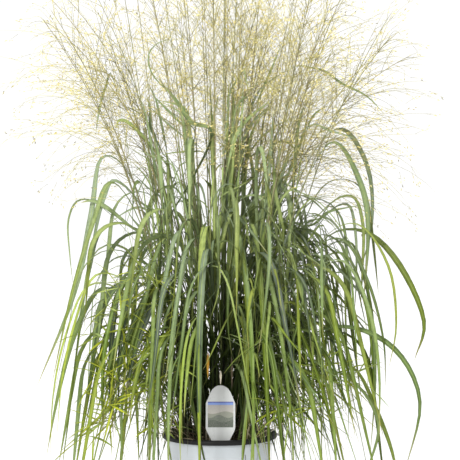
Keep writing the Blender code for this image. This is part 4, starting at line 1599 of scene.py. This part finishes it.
def soilFinish(name, paler):
    looks = soilLooks
    w = Wiring(name)
    grains = w.noise(w.place(), looks["grains"], 6.0, 0.7)
    patches = w.noise(w.place(), looks["patches"])
    share = w.plus(w.times(grains, looks["grainShare"]), w.times(patches, looks["patchShare"] + paler))
    brown = w.ramp(share, ((0.35, looks["darkest"]), (0.75, looks["lightest"])))
    relief = w.bump(grains, looks["grainDepth"], 0.8)
    return w.dress(brown, w.range(grains, *looks["roughness"]), relief, looks["gloss"])


def addChip(shape, rng):
    # a squashed ball of random size, half sunk
    radius = soilRadius * math.sqrt(rng.random()) * barkChips["reach"]
    angle = rng.uniform(0, 2 * math.pi)
    size = rng.uniform(*barkChips["size"])
    width, thickness = rng.uniform(*barkChips["width"]), rng.uniform(*barkChips["thickness"])
    stretch = Matrix.Diagonal((size, size * width, size * thickness, 1))
    spin = Matrix.Rotation(rng.uniform(0, barkChips["spin"]), 4, "Z")
    for axis in ("X", "Y"):
        spin = spin @ Matrix.Rotation(rng.uniform(-barkChips["tilt"], barkChips["tilt"]), 4, axis)
    height = soilTop(radius) + rng.uniform(*barkChips["lift"])
    place = Matrix.Translation((radius * math.cos(angle), radius * math.sin(angle), height))
    made = bmesh.ops.create_icosphere(shape, subdivisions=1, radius=1.0, matrix=place @ spin @ stretch)
    for vert in made["verts"]:
        vert.co += Vector(rng.normal(0, size * barkChips["lumps"], 3))
        for face in vert.link_faces:
            face.material_index = 1


def makeSoil():
    rng = np.random.default_rng(soilLooks["seed"])
    shape = bmesh.new()
    count, steps = soilLooks["rings"], soilLooks["turnSteps"]
    bottom = pot["floor"] + soil["gap"]
    sideTop = soil["level"] - soilLooks["sideDrop"]
    lowRadius = wallRadius(bottom) - pot["wall"] - soilLooks["sideGap"]
    outline = [(soilRadius * (k / count), None) for k in range(1, count + 1)]
    for share in soilLooks["sideRows"]:
        outline.append((between(soilRadius, lowRadius, share), between(sideTop, bottom, share)))
    rings = []
    for radius, height in outline:
        ring = []
        for i in range(steps):
            angle = 2 * math.pi * i / steps
            z = height
            if height is None:
                edge = min(1.0, (soilRadius - radius) / soilLooks["calmEdge"])
                lump = rng.normal(0, soilLooks["lumps"]) * between(soilLooks["calmShare"], 1.0, edge)
                z = soilTop(radius) + lump - soilLooks["sink"]
            ring.append(shape.verts.new((radius * math.cos(angle), radius * math.sin(angle), z)))
        rings.append(ring)
    centre = shape.verts.new((0, 0, soil["level"] + soil["dome"]))
    under = shape.verts.new((0, 0, bottom))
    for i in range(steps):
        j = (i + 1) % steps
        shape.faces.new((centre, rings[0][i], rings[0][j]))
        shape.faces.new((under, rings[-1][j], rings[-1][i]))
        for low, high in zip(rings, rings[1:]):
            shape.faces.new((low[i], high[i], high[j], low[j]))
    bmesh.ops.recalc_face_normals(shape, faces=shape.faces)
    for _ in range(barkChips["count"]):
        addChip(shape, rng)
    finishes = [soilFinish("pottingMix", 0.0), soilFinish("barkChip", barkChips["paler"])]
    addPiece("pottingMix", newMesh("pottingMix", shape), finishes, "potting_mix", "potting_mix")


makeSoil()
print("potting mix ready")


# pot
potLooks = {
    "white": {
        "colour": (0.43, 0.46, 0.48),
        "worn": (0.38, 0.40, 0.40),
        "wear": 0.5,
        "roughness": (0.34, 0.48),
        "gloss": 0.5,
    },
    "black": {
        "colour": (0.009, 0.009, 0.009),
        "worn": (0.035, 0.031, 0.026),
        "wear": 0.4,
        "roughness": (0.45, 0.70),
        "gloss": 0.18,
    },
    "grain": 900.0,
    "grainDepth": 0.00015,
    "patches": 22.0,
    "wearPlaces": (0.5, 0.8),
    "lipRound": 0.42,
    # small corners of the outline: the floor inside, below the lip inside, and under the lip
    "floorCorner": 0.003,
    "innerDrops": (0.004, 0.0012),
    "innerShare": 0.6,
    "underLip": (0.001, 0.0008),
    "stepSlope": 0.0006,
    "stepShares": (0.7, 0.3),
    "lipRows": 8,
    "sideRows": 8,
    "sideStart": 0.02,
    "baseRows": 5,
    "sharpFrom": math.radians(32),
}


def plasticFinish(name, looks):
    w = Wiring(name)
    fine = w.noise(w.place(), potLooks["grain"], 2.0)
    broad = w.noise(w.place(), potLooks["patches"], 4.0)
    worn = w.tint(w.range(broad, 0.0, looks["wear"], *potLooks["wearPlaces"]), looks["colour"], looks["worn"])
    relief = w.bump(fine, potLooks["grainDepth"], 0.25)
    return w.dress(worn, w.swing(broad, *looks["roughness"]), relief, looks["gloss"])


def potProfile():
    # from the middle of the floor up the inside, over the lip and down the outside
    top, floor, wall, step = (pot[name] for name in ("height", "floor", "wall", "stepDepth"))
    lipBottom = top - pot["lipHeight"]
    first, second = (lipBottom - drop for drop in pot["stepDrops"])
    lipRound = pot["lipHeight"] * potLooks["lipRound"]
    corner, slope = potLooks["floorCorner"], potLooks["stepSlope"]
    (lowDrop, highDrop), (underDrop, underInset) = potLooks["innerDrops"], potLooks["underLip"]
    highShare, lowShare = potLooks["stepShares"]
    points = [
        (0.0, floor),
        (wallRadius(floor) - wall - corner, floor),
        (wallRadius(floor) - wall, floor + corner),
        (wallRadius(top) - wall, top - lowDrop),
        (wallRadius(top) - wall * potLooks["innerShare"], top - highDrop),
        (wallRadius(top), top),
    ]
    for k in range(potLooks["lipRows"] + 1):  # rolled outer edge of the lip
        angle = math.pi / 2 * (1 - k / potLooks["lipRows"])
        inset, drop = lipRound * (1 - math.cos(angle)), lipRound * (1 - math.sin(angle))
        points.append((pot["lipRadius"] - inset, top - drop))
    points += [
        (pot["lipRadius"], lipBottom + underDrop),
        (pot["lipRadius"] - underInset, lipBottom),
        (wallRadius(lipBottom) + step, lipBottom),
        (wallRadius(first) + step, first + slope),
        (wallRadius(first) + step * highShare, first),
        (wallRadius(second) + step * lowShare, second + slope),
        (wallRadius(second), second),
    ]
    drop = pot["baseRound"]
    rows = np.linspace(second - potLooks["sideStart"], drop, potLooks["sideRows"])
    points += [(wallRadius(z), z) for z in rows]
    for k in range(1, potLooks["baseRows"] + 1):
        angle = math.pi / 2 * k / potLooks["baseRows"]
        points.append((wallRadius(drop) - drop * (1 - math.cos(angle)), drop * (1 - math.sin(angle))))
    return points + [(0.0, 0.0)]


def drainCutter():
    # round bars through the corner between the floor and the wall
    cutter = bmesh.new()
    radius = pot["drainRadius"]
    for i in range(pot["drainHoles"]):
        around = Matrix.Rotation((i + 0.5) * 2 * math.pi / pot["drainHoles"], 4, "Z")
        corner = Matrix.Translation((pot["baseRadius"] - pot["wall"] / 2, 0.0, pot["floor"] / 2))
        place = around @ corner @ Matrix.Rotation(math.radians(135), 4, "Y")
        bmesh.ops.create_cone(
            cutter,
            cap_ends=True,
            segments=24,
            radius1=radius,
            radius2=radius,
            depth=4 * radius,
            matrix=place,
        )
    return newObject("drainHoles", newMesh("drainHoles", cutter))


def makePot():
    outline = bpy.data.meshes.new("potOutline")
    profile = potProfile()
    outline.from_pydata([(r, 0.0, z) for r, z in profile], [(i, i + 1) for i in range(len(profile) - 1)], [])
    turned, holes = newObject("potOutline", outline), drainCutter()
    screw = turned.modifiers.new("turn", "SCREW")
    screw.steps = screw.render_steps = pot["turnSteps"]
    screw.use_merge_vertices = True
    screw.merge_threshold = 0.00005
    cut = turned.modifiers.new("drain", "BOOLEAN")
    cut.object = holes
    cut.solver = "EXACT"
    bpy.context.view_layer.update()
    mesh = bpy.data.meshes.new_from_object(turned.evaluated_get(bpy.context.evaluated_depsgraph_get()))
    mesh.name = "nurseryPot"
    bpy.data.objects.remove(turned)
    bpy.data.objects.remove(holes)
    mesh.materials.clear()
    lipBottom = pot["height"] - pot["lipHeight"]
    for face in mesh.polygons:
        x, y, z = face.center
        share = potLooks["innerShare"]
        inside = math.hypot(x, y) < wallRadius(z) - pot["wall"] * share and z > pot["floor"] * share
        face.material_index = 1 if inside or z > lipBottom - 0.0002 else 0
    mesh.shade_smooth()
    mesh.set_sharp_from_angle(angle=potLooks["sharpFrom"])
    finishes = [plasticFinish("potWhite", potLooks["white"]), plasticFinish("potBlack", potLooks["black"])]
    return addPiece("nurseryPot", mesh, finishes, "pot_plastic", "pot")


potPiece = makePot()
print("pot ready:", len(potPiece.data.polygons), "faces")


# plant tag
tag = {
    "thickness": 0.0008,
    "halfWidth": 0.0285,
    "stakeHalfWidth": 0.0130,
    "top": 0.129,
    # half widths, and how far below the top they are
    "arch": (
        (0.0, 0.0), (0.0062, 0.0008), (0.0108, 0.0034), (0.0150, 0.0068),
        (0.0190, 0.0125), (0.0226, 0.0210), (0.0260, 0.0290), (0.0285, 0.0345),
    ),
    "waist": 0.046,
    "stakeTop": 0.014,
    "buried": 0.045,
    "point": 0.012,
    "place": (0.0027, -0.0860),
    "lean": math.radians(3.0),
    "edgeRound": 0.00018,
    # the printed panel: its heights, its columns of faces, and how far it stands proud of the card
    "pictureHalfWidth": 0.0247,
    "picture": (0.0480, 0.0975),
    "pictureColumns": 24,
    "pictureProud": 0.00006,
    "pictureSunk": 0.0001,
    "roundFrom": 1.2,
}

tagLooks = {
    "white": (0.51, 0.52, 0.51),
    "smear": (0.42, 0.43, 0.41),
    "smears": 30.0,
    "smearShare": (0.0, 0.35, 0.52, 0.8),
    "grain": 500.0,
    "grainDepth": 0.0001,
    "roughness": (0.22, 0.38),
    # the picture: a pale sky, hills (height, swell, pace, shift, colour) and a band with a line over it
    "sky": ((0.46, 0.44, 0.38), (0.34, 0.33, 0.31)),
    "skyHeights": (0.0, 1.0, 0.45, 0.9),
    "hills": (
        (0.58, 0.05, 3.1, 0.4, (0.23, 0.25, 0.19)),
        (0.43, 0.06, 4.3, 2.1, (0.105, 0.135, 0.095)),
        (0.25, 0.05, 3.7, 4.0, (0.050, 0.078, 0.048)),
    ),
    "ridge": (0.0, 1.0, -0.01, 0.02),
    "print": (0.30, 0.24, 0.25),
    "printShare": (0.0, 0.5, 0.4, 0.7),
    "bands": (
        ((0.0, 1.0, 0.872, 0.880), (0.16, 0.25, 0.55)),
        ((0.0, 1.0, 0.962, 0.970), (0.055, 0.04, 0.22)),
    ),
    "pictureRoughness": (0.25, 0.35),
    "sharpFrom": math.radians(40),
}


def tagFinish():
    looks = tagLooks
    w = Wiring("tagPlastic")
    smears = w.noise(w.place(), looks["smears"], 4.0)
    white = w.tint(w.range(smears, *looks["smearShare"]), looks["white"], looks["smear"])
    relief = w.bump(w.noise(w.place(), looks["grain"], 2.0), looks["grainDepth"], 0.2)
    return w.dress(white, w.swing(smears, *looks["roughness"]), relief)


def pictureFinish():
    looks = tagLooks
    w = Wiring("tagPicture")
    across, along = w.value("across"), w.value("along")
    grain = w.noise(w.vector(w.times(across, 6.0), w.times(along, 4.0)), 4.0, 4.0)
    picture = w.tint(w.range(along, *looks["skyHeights"]), *looks["sky"])
    for height, swell, pace, shift, colour in looks["hills"]:
        wave = w.math("SINE", w.math("MULTIPLY_ADD", across, pace, shift))
        ridge = w.math("MULTIPLY_ADD", wave, swell, height)
        picture = w.tint(w.range(w.math("SUBTRACT", ridge, along), *looks["ridge"]), picture, colour)
    picture = w.tint(w.range(grain, *looks["printShare"]), picture, looks["print"])
    for heights, colour in looks["bands"]:
        picture = w.tint(w.range(along, *heights), picture, colour)
    return w.dress(picture, w.range(grain, *looks["pictureRoughness"]))


def tagOutline():
    half = [
        (0.0, -tag["buried"]),
        (tag["stakeHalfWidth"] * 0.8, tag["point"] - tag["buried"]),
        (tag["stakeHalfWidth"], tag["stakeTop"]),
        (between(tag["stakeHalfWidth"], tag["halfWidth"], 0.86), tag["waist"] - 0.006),
        (tag["halfWidth"] - 0.0006, tag["waist"] - 0.002),
        (tag["halfWidth"], tag["waist"] + 0.001),
    ]
    half += [(width, tag["top"] - drop) for width, drop in reversed(tag["arch"])]
    return half + [(-x, z) for x, z in reversed(half[1:-1])]


def addCard(shape):
    loop = [shape.verts.new((x, -tag["thickness"] / 2, z)) for x, z in tagOutline()]
    pushed = bmesh.ops.extrude_face_region(shape, geom=[shape.faces.new(loop)])
    moved = [part for part in pushed["geom"] if isinstance(part, bmesh.types.BMVert)]
    bmesh.ops.translate(shape, verts=moved, vec=(0, tag["thickness"], 0))
    bmesh.ops.recalc_face_normals(shape, faces=shape.faces)
    rim = [edge for edge in shape.edges if edge.calc_face_angle(0) > tag["roundFrom"]]
    bmesh.ops.bevel(shape, geom=rim, offset=tag["edgeRound"], segments=2, affect="EDGES", clamp_overlap=True)
    bmesh.ops.triangulate(shape, faces=[face for face in shape.faces if len(face.verts) > 4])


def addPicture(shape):
    # the printed panel, a thin box a hair proud of the card: corners are found by face, row and column
    low, high = tag["picture"]
    back, columns = tag["thickness"] / 2, tag["pictureColumns"]
    corners = {}
    for face, y in enumerate((-back - tag["pictureProud"], -back + tag["pictureSunk"])):
        for j, z in enumerate((low, (low + high) / 2, high)):
            for i in range(columns + 1):
                x = between(-1, 1, i / columns) * tag["pictureHalfWidth"]
                corners[face, j, i] = shape.verts.new((x, y, z))

    def addFace(turned, *places):
        around = [corners[place] for place in places]
        shape.faces.new(around[::-1] if turned else around).material_index = 1

    for face in range(2):
        for j in range(2):
            for i in range(columns):
                addFace(face == 1, (face, j, i), (face, j, i + 1), (face, j + 1, i + 1), (face, j + 1, i))
    for j in range(2):
        for i in (0, columns):
            addFace(i > 0, (0, j, i), (0, j + 1, i), (1, j + 1, i), (1, j, i))
    for i in range(columns):
        for j in (0, 2):
            addFace(j > 0, (0, j, i), (1, j, i), (1, j, i + 1), (0, j, i + 1))


def makeTag():
    shape = bmesh.new()
    addCard(shape)
    addPicture(shape)
    mesh = newMesh("plantTag", shape)
    low, high = tag["picture"]
    places = np.array([vert.co for vert in mesh.vertices])
    shares = {"across": places[:, 0] / tag["pictureHalfWidth"], "along": (places[:, 2] - low) / (high - low)}
    for name, values in shares.items():
        mesh.attributes.new(name, "FLOAT", "POINT").data.foreach_set("value", values)
    mesh.transform(Matrix.Translation((*tag["place"], soil["level"])) @ Matrix.Rotation(-tag["lean"], 4, "X"))
    mesh.shade_smooth()
    mesh.set_sharp_from_angle(angle=tagLooks["sharpFrom"])
    addPiece("plantTag", mesh, [tagFinish(), pictureFinish()], "tag_plastic", "plant_tag")


makeTag()
print("plant tag ready")


# floor, light and camera
studio = {
    "floorSize": 40.0,
    "paper": ((0.93, 0.93, 0.93), (0.96, 0.96, 0.96)),
    "paperRoughness": (0.8, 0.95),
    "paperGloss": 0.1,
    "paperGrain": 12.0,
    # white along the horizon, softer overhead
    "fadeHeights": (0.20, 0.45),
    "horizonGlow": 1.06,
    "skyGlow": 0.60,
    "sunStrength": 2.2,
    "sunWidth": math.radians(14),
    "sunFrom": (-0.30, -0.62, 1.10),
    "panelPower": 9.0,
    "panelSize": 0.45,
    "panelSpread": math.radians(62),
    "panelPlace": (-0.75, -2.45, 1.45),
    "panelAim": (0.0, 0.0, 0.86),
    "lens": 101.74,
}


def makeFloor():
    shape = bmesh.new()
    bmesh.ops.create_grid(shape, x_segments=8, y_segments=8, size=studio["floorSize"] / 2)
    floor = newObject("studioFloor", newMesh("studioFloor", shape))
    w = Wiring("floorPaper")
    grain = w.noise(w.place(), studio["paperGrain"], 5.0)
    paper = w.tint(w.range(grain, 0.0, 1.0), *studio["paper"])
    finish = w.dress(paper, w.range(grain, *studio["paperRoughness"]), gloss=studio["paperGloss"])
    floor.data.materials.append(finish)
    floor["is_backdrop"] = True


def makeSky():
    world = bpy.data.worlds.new("studioSky")
    world.use_nodes = True
    nodes, links = world.node_tree.nodes, world.node_tree.links
    sky = nodes["Background"]
    sky.inputs["Color"].default_value = (1.0, 1.0, 1.0, 1.0)
    parts = nodes.new("ShaderNodeSeparateXYZ")
    links.new(nodes.new("ShaderNodeTexCoord").outputs["Generated"], parts.inputs[0])
    fade = nodes.new("ShaderNodeMapRange")
    fade.inputs["From Min"].default_value, fade.inputs["From Max"].default_value = studio["fadeHeights"]
    fade.inputs["To Min"].default_value = studio["horizonGlow"]
    fade.inputs["To Max"].default_value = studio["skyGlow"]
    links.new(parts.outputs["Z"], fade.inputs["Value"])
    links.new(fade.outputs["Result"], sky.inputs["Strength"])
    bpy.context.scene.world = world


def makeLamps():
    lamp = bpy.data.lights.new("softSun", "SUN")
    lamp.energy = studio["sunStrength"]
    lamp.angle = studio["sunWidth"]
    sun = newObject("softSun", lamp)
    sun.rotation_euler = Vector(studio["sunFrom"]).to_track_quat("Z", "Y").to_euler()
    lamp = bpy.data.lights.new("frontPanel", "AREA")
    lamp.shape = "DISK"
    lamp.size = studio["panelSize"]
    lamp.energy = studio["panelPower"]
    lamp.spread = studio["panelSpread"]
    panel = newObject("frontPanel", lamp)
    panel.location = studio["panelPlace"]
    panel.rotation_euler = (Vector(studio["panelAim"]) - panel.location).to_track_quat("-Z", "Y").to_euler()


def makeCamera():
    lens = bpy.data.cameras.new("camera")
    lens.lens = studio["lens"]
    lens.clip_start = 0.05
    camera = newObject("camera", lens)
    camera.location = frontEye
    camera.rotation_euler = (math.pi / 2, 0, 0)
    bpy.context.scene.camera = camera


makeFloor()
makeSky()
makeLamps()
makeCamera()
bpy.context.scene.view_settings.view_transform = "Standard"
print("floor, light and camera ready")

bpy.context.view_layer.update()
[[list(corner) for corner in box] for box in (cadBox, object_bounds())]
